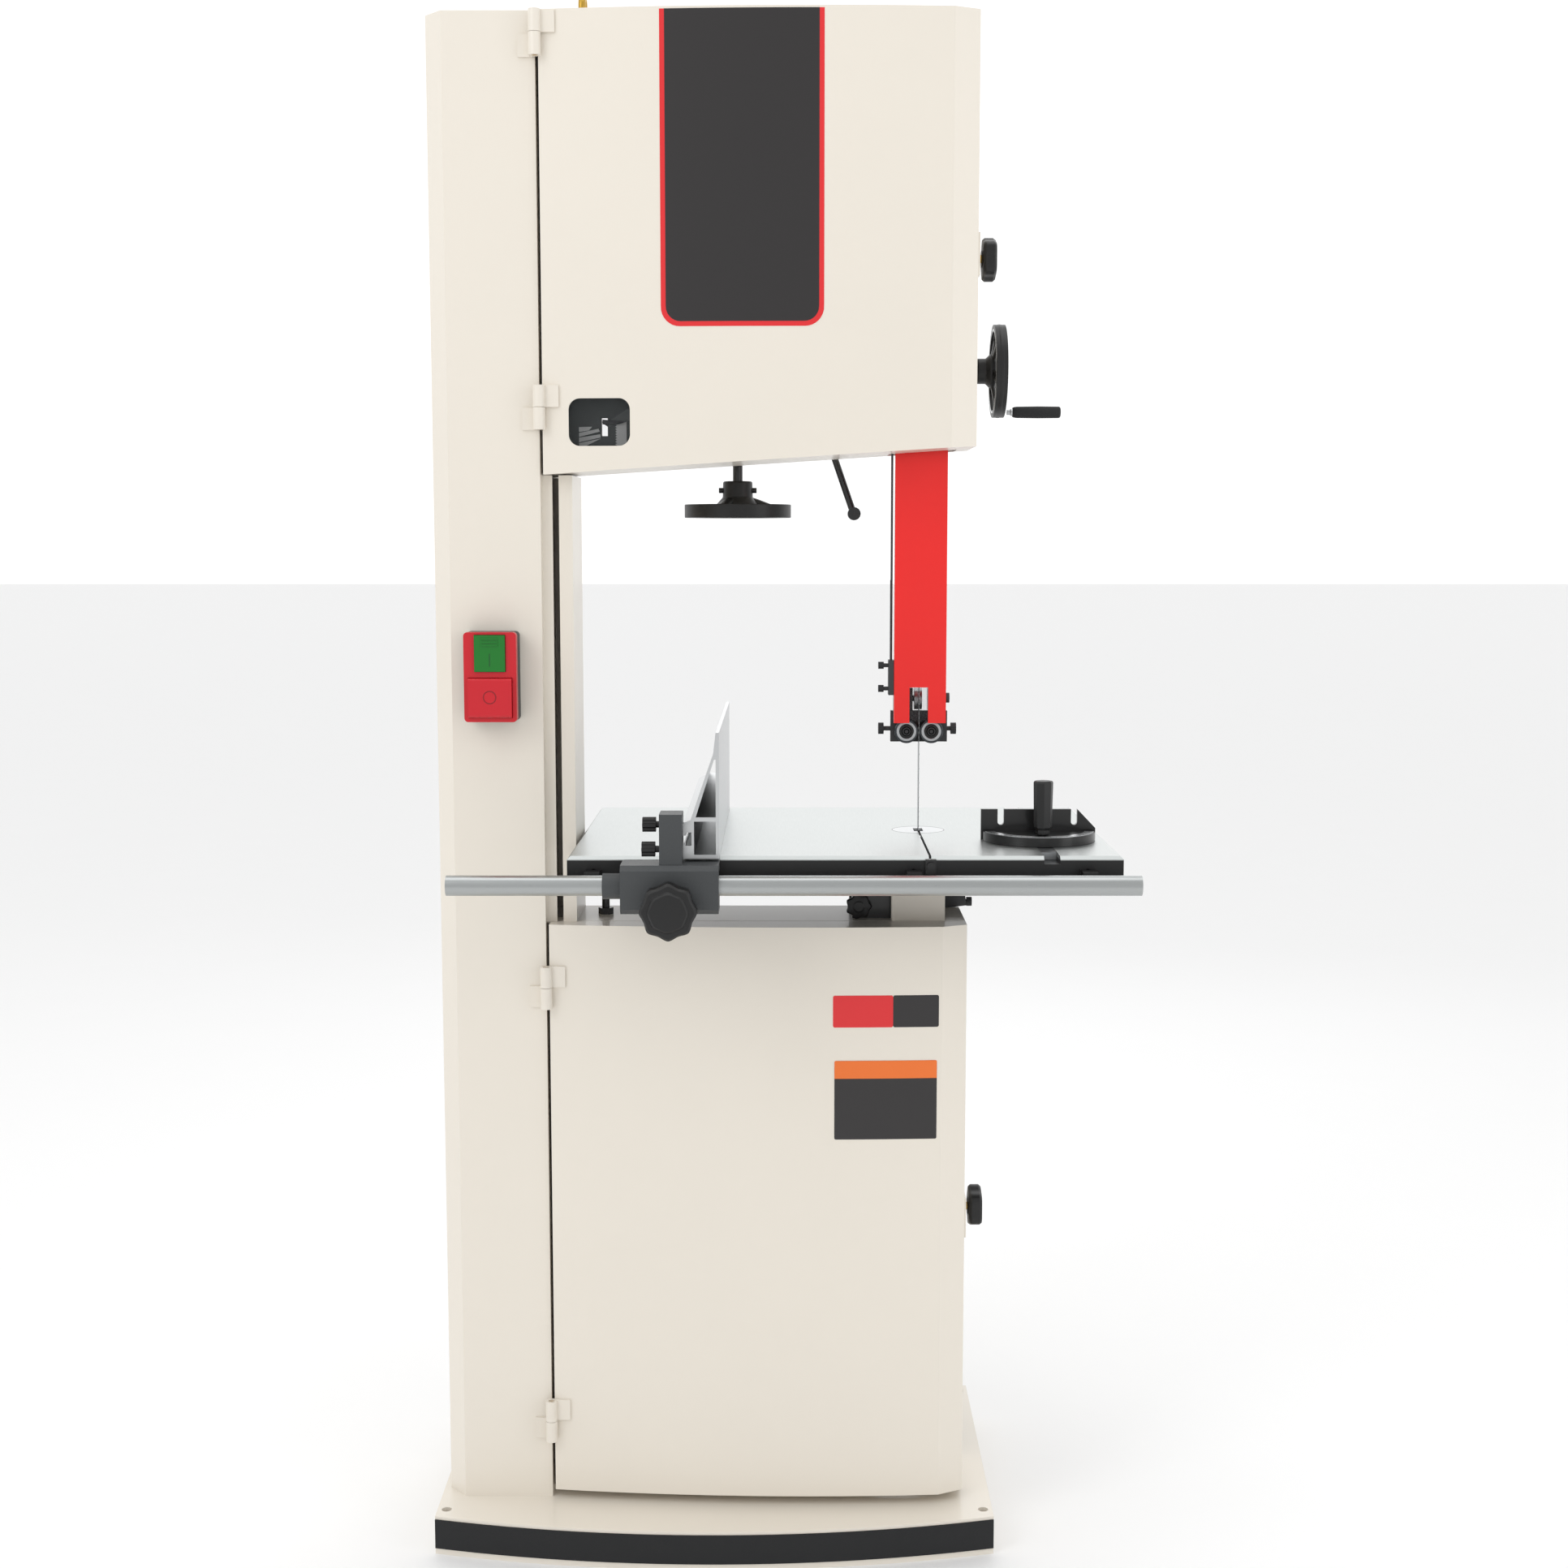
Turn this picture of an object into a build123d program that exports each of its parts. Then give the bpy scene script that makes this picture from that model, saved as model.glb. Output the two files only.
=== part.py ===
from build123d import *
import math
import os

# Steel-frame band saw. Millimetres, +Z up, the front of the machine faces -Y.
# Every piece is drawn in the blade's frame: X = 0 and Y = 0 on the cutting run of the blade,
# Z = 0 on the floor. save() moves it to the part's frame, whose origin is the centre of the
# four floor bolts.
BLADE_X = 265.0
BLADE_Y = -48.0

# Frame
HEIGHT = 1930.0
BASE_X = (-623.0, 93.0)
BASE_Y = (-167.0, 263.0)
BASE_BOW = 45.0
BASE_H = 50.0
BASE_WALL = 5.0
FLOOR_BOLT_SPACING = (692.0, 390.0)
FLOOR_BOLT_R = 6.5
COLUMN_X = (-615.0, -478.0)
COLUMN_Y = (-108.0, 120.0)
COLUMN_CHAMFER = (23.0, 28.0)
COLUMN_WALL = 4.0

# Wheel housings and doors
HOUSING_X = (-478.0, 62.0)
HOUSING_Y = (-86.0, 30.0)
LOWER_HOUSING_Z = (62.0, 809.0)
UPPER_BOTTOM_Z = (1373.0, 1408.0)
HOUSING_WALL = 3.0
DOOR_LEFT = -473.5
DOOR_EDGE_Y = -114.0
DOOR_BACK_Y = -88.0
DOOR_PEAK = (-185.0, -135.0)
DOOR_BEND = (30.0, -130.0)
DOOR_SKIN = 2.0
LOWER_RIGHT = 56.0
HINGE_AXIS = (-477.0, -121.0)
HINGE_R = 7.5
HINGE_PIN_R = 4.0
RUNNING_FIT = 0.05

# Wheels and blade
WHEEL_R = 231.3
WHEEL_W = 36.0
WHEEL_X = -232.0
UPPER_WHEEL_Z = 1662.0
LOWER_WHEEL_Z = 445.0
TYRE_T = 5.0
BLADE_T = 0.8
BLADE_W = 19.0
AXLE_R = 15.0

# Table
TABLE_TOP = 915.0
TABLE_X = (-437.0, 233.0)
TABLE_Y = (-240.0, 240.0)
TABLE_T = 24.0
INSERT_R = 34.0
MITRE_X = 147.0
MITRE_SLOT_W = 19.5
MITRE_SLOT_D = 9.8
RAIL_R = 12.2
RAIL_Y = -275.0
RAIL_Z = 885.0
RAIL_BRACKET_X = (-405.0, -20.0, 190.0)
PLATE_T = 12.0
TRUNNION_R = 82.0
MITRE_Y = -95.0
MITRE_HANDLE_Y = -140.0

# Switch
SWITCH_X = (-571.0, -506.0)
SWITCH_Y = -108.0
SWITCH_Z = (1069.0, 1180.0)

# Door knobs and the lift of the guide post
KNOB_Y = -60.0
UPPER_KNOB_Z = 1641.0
LOWER_KNOB_Z = 426.0
POST_SHAFT_Y = -14.0
POST_SHAFT_Z = 1506.6
POST_X = (12.0, 32.0)
POST_Y = (3.0, 24.0)
POST_TOP = 1630.0
PINION_TEETH = 12
PINION_R = 12.0
RACK_PITCH = 2 * math.pi * PINION_R / PINION_TEETH
RACK_PITCH_Y = POST_SHAFT_Y + PINION_R
RACK_TEETH_BELOW = 48
RACK_TEETH_ABOVE = 19
ADDENDUM = 1.8
DEDENDUM = 2.4
TOOTH_HALF = 1.25
TOOTH_SLOPE = 0.364
CRANK_Z = 1455.0
GUARD_Z = (1058.0, 1560.0)
SIDE_X = 16.2

# Drive
LOWER_HUB_R = 40.0
BEARING_R = 30.0
DRIVEN_R = 88.0
MOTOR_PULLEY_R = 32.0
MOTOR_Z = 190.0
BELT_Y = (66.0, 80.0)
MOTOR_FACE_Y = 98.0
PORT_X = -20.0
PORT_Z = 150.0
PORT_R = 50.0
PORT_BORE_R = 47.0

# Blade tension
TENSION_X = -237.0
TENSION_Y = 75.0
TENSION_SCREW_R = 6.5
THRUST_Z = (1399.0, 1407.0)
TRACK_Z = 1690.0
LEVER_PIVOT = (-118.0, 1425.0)
LEVER_TIP = (-84.0, 1327.0)


def block(x, y, z):
    """Box between a low and a high face on each axis."""
    centre = Pos((x[0] + x[1]) / 2, (y[0] + y[1]) / 2, (z[0] + z[1]) / 2)
    return centre * Box(x[1] - x[0], y[1] - y[0], z[1] - z[0])


def rod(radius, start, end):
    """Round bar between two points."""
    run = Vector(*end) - Vector(*start)
    plane = Plane(origin=start, z_dir=run)
    return plane * Pos(0, 0, run.length / 2) * Cylinder(radius, run.length)


def ring(outer, inner, start, end):
    """Round tube between two points."""
    run = (Vector(*end) - Vector(*start)).normalized()
    low = Vector(*start) - run
    high = Vector(*end) + run
    return rod(outer, start, end) - rod(inner, tuple(low), tuple(high))


def prism(points, axis, low, high):
    """Polygon in the plane across an axis, pulled along that axis between two faces.

    The points give (y, z) for axis X, (x, z) for axis Y and (x, y) for axis Z.
    """
    place = {
        "X": lambda a, b: (low, a, b),
        "Y": lambda a, b: (a, low, b),
        "Z": lambda a, b: (a, b, low),
    }[axis]
    way = {"X": (1, 0, 0), "Y": (0, 1, 0), "Z": (0, 0, 1)}[axis]
    outline = Polyline([place(a, b) for a, b in points], close=True)
    return extrude(make_face(outline), amount=high - low, dir=way)


def cone(r_start, r_end, start, end):
    """Round bar that tapers between two points."""
    run = Vector(*end) - Vector(*start)
    plane = Plane(origin=start, z_dir=run)
    return plane * Pos(0, 0, run.length / 2) * Cone(r_start, r_end, run.length)


def lobed(radius, depth, lobes, start, end):
    """Knob body with round finger hollows around its rim."""
    run = (Vector(*end) - Vector(*start)).normalized()
    plane = Plane(origin=start, z_dir=run)
    length = (Vector(*end) - Vector(*start)).length
    body = plane * Pos(0, 0, length / 2) * Cylinder(radius, length)
    hollow_r = math.pi * radius / lobes * 0.62
    reach = radius - depth + hollow_r
    for lobe in range(lobes):
        angle = 2 * math.pi * lobe / lobes
        centre = Pos(reach * math.cos(angle), reach * math.sin(angle), length / 2)
        body -= plane * centre * Cylinder(hollow_r, length + 2)
    return body


def join(shapes):
    """Fuse a list of solids into one."""
    whole = shapes[0]
    for shape in shapes[1:]:
        whole += shape
    return whole


def group(shapes):
    """Keep alike pieces as separate solids of one node."""
    solids = []
    for shape in shapes:
        solids.extend(shape.solids())
    return Compound(children=solids)


def save(name, shape):
    """Write one node in the part's own frame."""
    export_step(Pos(BLADE_X, BLADE_Y, 0) * shape, f"parts/{name}.step")


# ---------------------------------------------------------------- base, column and channel


def base_outline(inset, low, high):
    """Base plan with its bowed front edge, moved in by a wall."""
    left = BASE_X[0] + inset
    right = BASE_X[1] - inset
    front = BASE_Y[0] + inset
    back = BASE_Y[1] - inset
    middle = (left + right) / 2
    sides = Polyline([(left, front, low), (left, back, low), (right, back, low), (right, front, low)])
    bow = ThreePointArc((right, front, low), (middle, front - BASE_BOW, low), (left, front, low))
    return extrude(make_face([*sides.edges(), bow]), amount=high - low, dir=(0, 0, 1))


def floor_bolt_points():
    """Centres of the four floor bolts."""
    centre_x = -BLADE_X
    centre_y = -BLADE_Y
    dx, dy = FLOOR_BOLT_SPACING
    return [(centre_x + sx * dx / 2, centre_y + sy * dy / 2) for sx in (-1, 1) for sy in (-1, 1)]


def base_plinth():
    """Pressed base: top plate, four lips and a boss under each floor bolt."""
    shell = base_outline(0, 0, BASE_H) - base_outline(BASE_WALL, -1, BASE_H - BASE_WALL)
    for x, y in floor_bolt_points():
        shell += rod(11.5, (x, y, 0), (x, y, BASE_H - BASE_WALL + 1))
    for x, y in floor_bolt_points():
        shell -= rod(FLOOR_BOLT_R, (x, y, -1), (x, y, BASE_H + 1))
    return shell


def base_front_strip():
    """Black scuff strip glued along the bowed front lip."""
    strip = base_outline(-1.6, 8, 46) - base_outline(0, 0, 60)
    return strip & block((BASE_X[0], BASE_X[1]), (-300, BASE_Y[0] - 0.5), (0, 60))


def column_solid(inset, low, high):
    """Column plan with its cut front-left corner."""
    left = COLUMN_X[0] + inset
    right = COLUMN_X[1] - inset
    front = COLUMN_Y[0] + inset
    back = COLUMN_Y[1] - inset
    cut_x, cut_y = COLUMN_CHAMFER
    trim = inset * 0.42
    points = [(left + cut_x - trim, front), (right, front), (right, back), (left, back)]
    points.append((left, front + cut_y - trim))
    return prism(points, "Z", low, high)


def column():
    """Folded box column, closed at the top and at the bottom."""
    return column_solid(0, BASE_H, HEIGHT) - column_solid(COLUMN_WALL, BASE_H + 6, HEIGHT - 5)


def blade_channel():
    """Folded cover of the blade's return run, with the slot that lets a blade out."""
    low = LOWER_HOUSING_Z[1]
    high = UPPER_BOTTOM_Z[0]
    front = -92.0
    walls = [
        block((COLUMN_X[1], -465), (front, front + 3), (low, high)),
        block((-457, -440), (front, front + 3), (low, high)),
        block((-443, -440), (front, HOUSING_Y[1]), (low, high)),
        block((COLUMN_X[1], -440), (HOUSING_Y[1] - 3, HOUSING_Y[1]), (low, high)),
        block((COLUMN_X[1], COLUMN_X[1] + 3), (front, HOUSING_Y[1]), (low, high)),
        block((-457, -455), (front, front + 22), (low, high)),
    ]
    return join(walls)


def lifting_eye():
    """Lifting eyebolt on the housing's top plate."""
    centre = Vector(-427, -20, HEIGHT + 22)
    eye = Plane(origin=centre, z_dir=(1, 0, 0)) * Torus(14, 4.5)
    collar = cone(11, 9, (centre.X, centre.Y, HEIGHT), (centre.X, centre.Y, HEIGHT + 7))
    neck = rod(5.5, (centre.X, centre.Y, HEIGHT + 5), (centre.X, centre.Y, HEIGHT + 10))
    return eye + collar + neck


# ---------------------------------------------------------------- housings and doors


def housing_outline(inset, right):
    """Upper housing seen from the front: its bottom edge rises to the right."""
    rise = (UPPER_BOTTOM_Z[1] - UPPER_BOTTOM_Z[0]) / (HOUSING_X[1] - HOUSING_X[0])
    left = HOUSING_X[0]
    edge = right - inset
    low_left = UPPER_BOTTOM_Z[0] + inset
    low_right = low_left + rise * (edge - left)
    return [(left, low_left), (edge, low_right), (edge, HEIGHT - inset), (left, HEIGHT - inset)]


def upper_bottom(x, inset=0.0):
    """Height of the upper housing's bottom plate at a place across the machine."""
    rise = (UPPER_BOTTOM_Z[1] - UPPER_BOTTOM_Z[0]) / (HOUSING_X[1] - HOUSING_X[0])
    return UPPER_BOTTOM_Z[0] + inset + rise * (x - HOUSING_X[0])


def upper_wheel_housing():
    """Welded tray behind the upper door: back, top, right side and sloping bottom."""
    wall = HOUSING_WALL
    front, back = HOUSING_Y
    tray = prism(housing_outline(0, HOUSING_X[1]), "Y", front, back)
    tray -= prism(housing_outline(wall, HOUSING_X[1]), "Y", front - 1, back - wall)
    # slot for the upper axle and its carriage, and the slot for the tension pointer
    tray -= block((-262, -202), (back - wall - 1, back + 1), (1592, 1708))
    tray -= block((-412, -388), (back - wall - 1, back + 1), (1420, 1456))
    # mouths for the blade's two runs, the guide post and its guard
    tray -= block((-479, -446), (-60, 24), (1368, 1384))
    tray -= block((-42, 44), (-40, 26.5), (1395, 1425))
    # bushing hole of the post lift and hole of the door stud
    tray -= rod(11, (HOUSING_X[1] - 6, -14, POST_SHAFT_Z), (HOUSING_X[1] + 3, -14, POST_SHAFT_Z))
    tray -= rod(5, (HOUSING_X[1] - 6, KNOB_Y, UPPER_KNOB_Z), (HOUSING_X[1] + 3, KNOB_Y, UPPER_KNOB_Z))
    return tray


def lower_wheel_housing():
    """Welded tray behind the lower door, open at the front."""
    wall = HOUSING_WALL
    front, back = HOUSING_Y
    low, high = LOWER_HOUSING_Z
    right = LOWER_RIGHT
    tray = block((HOUSING_X[0], right), (front, back), (BASE_H, high))
    tray -= block((HOUSING_X[0] - 1, right - wall), (front - 1, back - wall), (BASE_H + 6, high - wall))
    # mouths for the blade's two runs, the axle, the dust port and the door stud
    tray -= block((-479, -446), (-60, 24), (high - 8, high + 1))
    tray -= block((-28, 20), (-24, 26), (high - 8, high + 1))
    axle_hole = (WHEEL_X, back - wall - 1, LOWER_WHEEL_Z)
    tray -= rod(LOWER_HUB_R, axle_hole, (WHEEL_X, back + 1, LOWER_WHEEL_Z))
    tray -= rod(PORT_BORE_R, (PORT_X, back - wall - 1, PORT_Z), (PORT_X, back + 1, PORT_Z))
    tray -= rod(5, (right - 6, KNOB_Y, LOWER_KNOB_Z), (right + 3, KNOB_Y, LOWER_KNOB_Z))
    return tray


def door_plan(inset, right, low, high):
    """Door plan pulled upwards: a long shallow arc, a bend and a facet back to the edge."""
    left = DOOR_LEFT + inset
    edge = right - inset
    bend_x = DOOR_BEND[0] - (HOUSING_X[1] - right)
    back = DOOR_BACK_Y + (1 if inset else 0)
    front_left = (left, DOOR_EDGE_Y + inset, low)
    bend = (bend_x - inset * 0.3, DOOR_BEND[1] + inset, low)
    arc = ThreePointArc(front_left, (DOOR_PEAK[0], DOOR_PEAK[1] + inset, low), bend)
    facet = Polyline([bend, (edge, DOOR_EDGE_Y + inset, low), (edge, back, low), (left, back, low), front_left])
    return extrude(make_face([arc, *facet.edges()]), amount=high - low, dir=(0, 0, 1))


def door_shell(outline, inner_outline, right):
    """Pan door: curved skin with a flange on all four sides."""
    span = (0, 2000)
    outer = door_plan(0, right, *span) & prism(outline, "Y", -200, DOOR_BACK_Y)
    inner = door_plan(DOOR_SKIN, right, *span) & prism(inner_outline, "Y", -200, DOOR_BACK_Y + 1)
    return outer - inner


def latch_tab(right, z):
    """Flange tab with an open slot that slips round the stud of the door knob."""
    tab = block((right + 0.4, right + 2.4), (-112, KNOB_Y + 20), (z - 26, z + 26))
    tab -= rod(6.2, (right - 1, KNOB_Y, z), (right + 4, KNOB_Y, z))
    tab -= block((right - 1, right + 4), (KNOB_Y, KNOB_Y + 30), (z - 6.2, z + 6.2))
    return tab + block((right - 2, right + 2.4), (-112, -90), (z - 26, z + 26))


def window_hole(grow, y_low, y_high):
    """Rounded window of the tension scale, grown on every side."""
    plane = Plane(origin=(-403, y_low, 1437), x_dir=(1, 0, 0), z_dir=(0, 1, 0))
    shape = RectangleRounded(76 + 2 * grow, 58 + 2 * grow, 14 + grow)
    return extrude(plane * shape, amount=y_high - y_low, dir=(0, 1, 0))


def upper_door_parts():
    """Upper door, its window pane and the coloured panel on its front."""
    inset = DOOR_SKIN
    outline = housing_outline(0, HOUSING_X[1])
    inner = housing_outline(inset, HOUSING_X[1])
    door = door_shell(outline, inner, HOUSING_X[1]) + latch_tab(HOUSING_X[1], UPPER_KNOB_Z)
    layer = door_plan(DOOR_SKIN, HOUSING_X[1], 0, 2000) - door_plan(2 * DOOR_SKIN, HOUSING_X[1], -1, 2001)
    pane = (layer & window_hole(5, -140, -100)).solids()[0]
    door -= window_hole(0, -160, -100)
    return door, pane


def lower_door():
    """Lower door, flat at the top and bottom."""
    low, high = LOWER_HOUSING_Z
    right = LOWER_RIGHT
    outline = [(DOOR_LEFT, low), (right, low), (right, high), (DOOR_LEFT, high)]
    inset = DOOR_SKIN
    edge = right - inset
    inner = [(DOOR_LEFT, low + inset), (edge, low + inset), (edge, high - inset), (DOOR_LEFT, high - inset)]
    return door_shell(outline, inner, right) + latch_tab(right, LOWER_KNOB_Z)


HINGE_SPLITS = {"upper": (1901.5, 1455.0), "lower": (729.0, 158.0)}
HINGE_HALF = 27.0
HINGE_GAP = 0.5


def hinge_parts(doors):
    """Lift-off hinges: a half on the door, a half on the column, and the pin."""
    x, y = HINGE_AXIS
    frame_halves = []
    pins = []
    door_halves = {"upper": [], "lower": []}
    for door_name, splits in HINGE_SPLITS.items():
        for split in splits:
            low = split - HINGE_HALF
            high = split + HINGE_HALF
            barrel = ring(HINGE_R, HINGE_PIN_R, (x, y, low), (x, y, split))
            leaf = block((x - 22, x - 3), (-111, COLUMN_Y[0]), (low, split))
            web = block((x - 7.4, x - 3), (y, COLUMN_Y[0]), (low, split))
            half = (leaf + web) - rod(HINGE_R - 0.5, (x, y, low - 1), (x, y, split + 1)) + barrel
            frame_halves.append(half)
            bore = HINGE_PIN_R + RUNNING_FIT
            upper = ring(HINGE_R, bore, (x, y, split + HINGE_GAP), (x, y, high))
            flap = block((x + 3, x + 24), (-119.5, -115), (split + HINGE_GAP, high))
            flap -= rod(HINGE_R - 0.5, (x, y, low), (x, y, high + 1))
            door_halves[door_name].append((upper + flap) - doors[door_name])
            pins.append(rod(HINGE_PIN_R, (x, y, low + 1), (x, y, high - 3)))
    return frame_halves, door_halves, pins


def door_knob(right, z, radius):
    """Lobed door knob that screws on a fixed stud."""
    face = right + 9
    start = (face, KNOB_Y, z)
    body = lobed(radius, 5, 9, start, (face + 16, KNOB_Y, z))
    body += rod(radius - 9, (face + 15, KNOB_Y, z), (face + 18, KNOB_Y, z))
    body += rod(11, (face - 1, KNOB_Y, z), (face + 1, KNOB_Y, z))
    return body - rod(5 + RUNNING_FIT, (face - 2, KNOB_Y, z), (face + 13, KNOB_Y, z))


def door_stud(right, z):
    """Stud welded through the housing side, on which the knob turns."""
    stud = rod(5, (right - 3, KNOB_Y, z), (right + 20, KNOB_Y, z))
    return stud + rod(9, (right - 7, KNOB_Y, z), (right - 3, KNOB_Y, z))


# ---------------------------------------------------------------- wheels and drive


def wheel(z):
    """Cast wheel: rim, web with round windows, and a hub bored for its bearings."""
    half = WHEEL_W / 2
    rim = ring(WHEEL_R - TYRE_T, 204, (WHEEL_X, -half, z), (WHEEL_X, half, z))
    web = ring(206, 30, (WHEEL_X, -5, z), (WHEEL_X, 5, z))
    hub = ring(40, BEARING_R, (WHEEL_X, -22, z), (WHEEL_X, 22, z))
    body = rim + web + hub
    for window in range(6):
        angle = math.radians(30 + 60 * window)
        x = WHEEL_X + 124 * math.cos(angle)
        height = z + 124 * math.sin(angle)
        body -= rod(44, (x, -10, height), (x, 10, height))
    return body


def wheel_tyre(z):
    """Rubber tyre stretched on the rim."""
    half = WHEEL_W / 2
    return ring(WHEEL_R, WHEEL_R - TYRE_T, (WHEEL_X, -half, z), (WHEEL_X, half, z))


def wheel_bearings(z, bore):
    """Pair of ball bearings pressed into a wheel hub."""
    pair = []
    for y in (-22, 6):
        pair.append(ring(BEARING_R, bore, (WHEEL_X, y, z), (WHEEL_X, y + 16, z)))
    return group(pair)


def upper_axle():
    """Fixed upper axle with its shoulder and front nut."""
    z = UPPER_WHEEL_Z
    axle = rod(AXLE_R, (WHEEL_X, -28, z), (WHEEL_X, 55, z))
    axle += rod(20, (WHEEL_X, 22.5, z), (WHEEL_X, 31, z))
    return axle + rod(19, (WHEEL_X, -34, z), (WHEEL_X, -22.5, z))


def lower_shaft():
    """Driven lower shaft, turning with its wheel and pulley."""
    z = LOWER_WHEEL_Z
    return rod(AXLE_R, (WHEEL_X, -26, z), (WHEEL_X, 88, z)) + rod(19, (WHEEL_X, -32, z), (WHEEL_X, -22.5, z))


def lower_bearing_housing():
    """Flanged bearing housing bolted to the back of the lower housing."""
    z = LOWER_WHEEL_Z
    barrel = rod(LOWER_HUB_R, (WHEEL_X, 24, z), (WHEEL_X, 60, z))
    flange = rod(62, (WHEEL_X, HOUSING_Y[1], z), (WHEEL_X, HOUSING_Y[1] + 8, z))
    bore = AXLE_R + RUNNING_FIT
    return barrel + flange - rod(bore, (WHEEL_X, 20, z), (WHEEL_X, 70, z))


def pulley(radius, hub_r, bore, z, y_low, y_high):
    """Grooved belt pulley on a shaft across the machine."""
    body = ring(radius + 3, bore, (WHEEL_X, y_low, z), (WHEEL_X, y_high, z))
    groove = ring(radius + 10, radius, (WHEEL_X, BELT_Y[0] - 0.4, z), (WHEEL_X, BELT_Y[1] + 0.4, z))
    body -= groove
    return body + ring(hub_r, bore, (WHEEL_X, y_low, z), (WHEEL_X, y_high + 6, z))


def belt_face(grow, low, high):
    """Closed belt outline round both pulleys, grown outwards."""
    big = DRIVEN_R + grow
    small = MOTOR_PULLEY_R + grow
    span = LOWER_WHEEL_Z - MOTOR_Z
    lean = math.asin((DRIVEN_R - MOTOR_PULLEY_R) / span)
    side = math.cos(lean)
    lift = math.sin(lean)
    points = [
        (WHEEL_X - big * side, LOWER_WHEEL_Z - big * lift),
        (WHEEL_X + big * side, LOWER_WHEEL_Z - big * lift),
        (WHEEL_X + small * side, MOTOR_Z - small * lift),
        (WHEEL_X - small * side, MOTOR_Z - small * lift),
    ]
    loop = prism(points, "Y", low, high)
    loop += rod(big, (WHEEL_X, low, LOWER_WHEEL_Z), (WHEEL_X, high, LOWER_WHEEL_Z))
    return loop + rod(small, (WHEEL_X, low, MOTOR_Z), (WHEEL_X, high, MOTOR_Z))


def drive_belt():
    """Ribbed drive belt, a hair clear of both pulleys."""
    return belt_face(6, *BELT_Y) - belt_face(0.3, BELT_Y[0] - 1, BELT_Y[1] + 1)


def motor_mount():
    """Box bracket that holds the motor behind the lower housing."""
    x = (WHEEL_X - 104, WHEEL_X + 104)
    z = (MOTOR_Z - 92, MOTOR_Z + 92)
    y = (HOUSING_Y[1], MOTOR_FACE_Y)
    body = block(x, y, z) - block((x[0] + 6, x[1] - 6), (y[0] - 1, y[1] - 8), (z[0] + 6, z[1] + 1))
    return body - rod(24, (WHEEL_X, y[1] - 10, MOTOR_Z), (WHEEL_X, y[1] + 1, MOTOR_Z))


def belt_cover():
    """Sheet cover over the driven pulley and the belt."""
    x = (WHEEL_X - 108, WHEEL_X + 108)
    z = (MOTOR_Z + 92.3, LOWER_WHEEL_Z + 108)
    y = (HOUSING_Y[1], MOTOR_FACE_Y)
    return block(x, y, z) - block((x[0] + 2, x[1] - 2), (y[0] - 1, y[1] - 2), (z[0] - 1, z[1] - 2))


def motor():
    """Fan-cooled motor with ribs, feet-free flange and fan cowl."""
    y = MOTOR_FACE_Y
    body = rod(88, (WHEEL_X, y, MOTOR_Z), (WHEEL_X, y + 12, MOTOR_Z))
    body += rod(76, (WHEEL_X, y + 11, MOTOR_Z), (WHEEL_X, y + 152, MOTOR_Z))
    for rib in range(24):
        angle = 360 / 24 * rib
        fin = block((74, 82), (y + 12, y + 150), (-1.5, 1.5))
        body += Pos(WHEEL_X, 0, MOTOR_Z) * Rot(0, angle, 0) * fin
    body += rod(84, (WHEEL_X, y + 150, MOTOR_Z), (WHEEL_X, y + 190, MOTOR_Z))
    return body


def motor_shaft():
    """Motor shaft end that carries the small pulley."""
    return rod(9, (WHEEL_X, BELT_Y[0] - 8, MOTOR_Z), (WHEEL_X, MOTOR_FACE_Y - 0.5, MOTOR_Z))


def terminal_box():
    """Terminal box on the motor's side with its gland, and no cord in it."""
    y = MOTOR_FACE_Y + 40
    x = WHEEL_X + 84
    box = block((x, x + 42), (y, y + 76), (MOTOR_Z - 38, MOTOR_Z + 38))
    gland = rod(9, (x + 22, y + 38, MOTOR_Z - 54), (x + 22, y + 38, MOTOR_Z - 37))
    return box + gland - rod(4.5, (x + 22, y + 38, MOTOR_Z - 55), (x + 22, y + 38, MOTOR_Z - 20))


def dust_port():
    """Round dust collar on the back of the lower housing."""
    y = HOUSING_Y[1]
    flange = block((PORT_X - 58, PORT_X + 58), (y, y + 3), (PORT_Z - 58, PORT_Z + 58))
    collar = rod(PORT_R, (PORT_X, y, PORT_Z), (PORT_X, y + 60, PORT_Z))
    return flange + collar - rod(PORT_BORE_R, (PORT_X, y - 1, PORT_Z), (PORT_X, y + 61, PORT_Z))


def saw_blade():
    """Closed band round both wheels, just clear of the tyres."""
    inner = WHEEL_R + 0.3
    outer = inner + BLADE_T
    half = BLADE_W / 2
    loops = []
    for radius, out in ((outer, half), (inner, half + 1)):
        loop = block((WHEEL_X - radius, WHEEL_X + radius), (-out, out), (LOWER_WHEEL_Z, UPPER_WHEEL_Z))
        for z in (LOWER_WHEEL_Z, UPPER_WHEEL_Z):
            loop += rod(radius, (WHEEL_X, -out, z), (WHEEL_X, out, z))
        loops.append(loop)
    return loops[0] - loops[1]


# ---------------------------------------------------------------- blade tension


def carriage_rails():
    """Two slide rails and the thrust plate below them, on the back of the upper housing."""
    y = HOUSING_Y[1]
    rails = [block((x, x + 14), (y, y + 26), (1460, 1800)) for x in (WHEEL_X - 68, WHEEL_X + 54)]
    plate = block((WHEEL_X - 78, WHEEL_X + 78), (y, y + 82), THRUST_Z)
    hole = rod(TENSION_SCREW_R + RUNNING_FIT, (TENSION_X, TENSION_Y, 1390), (TENSION_X, TENSION_Y, 1420))
    return group([plate - hole, *rails])


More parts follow.
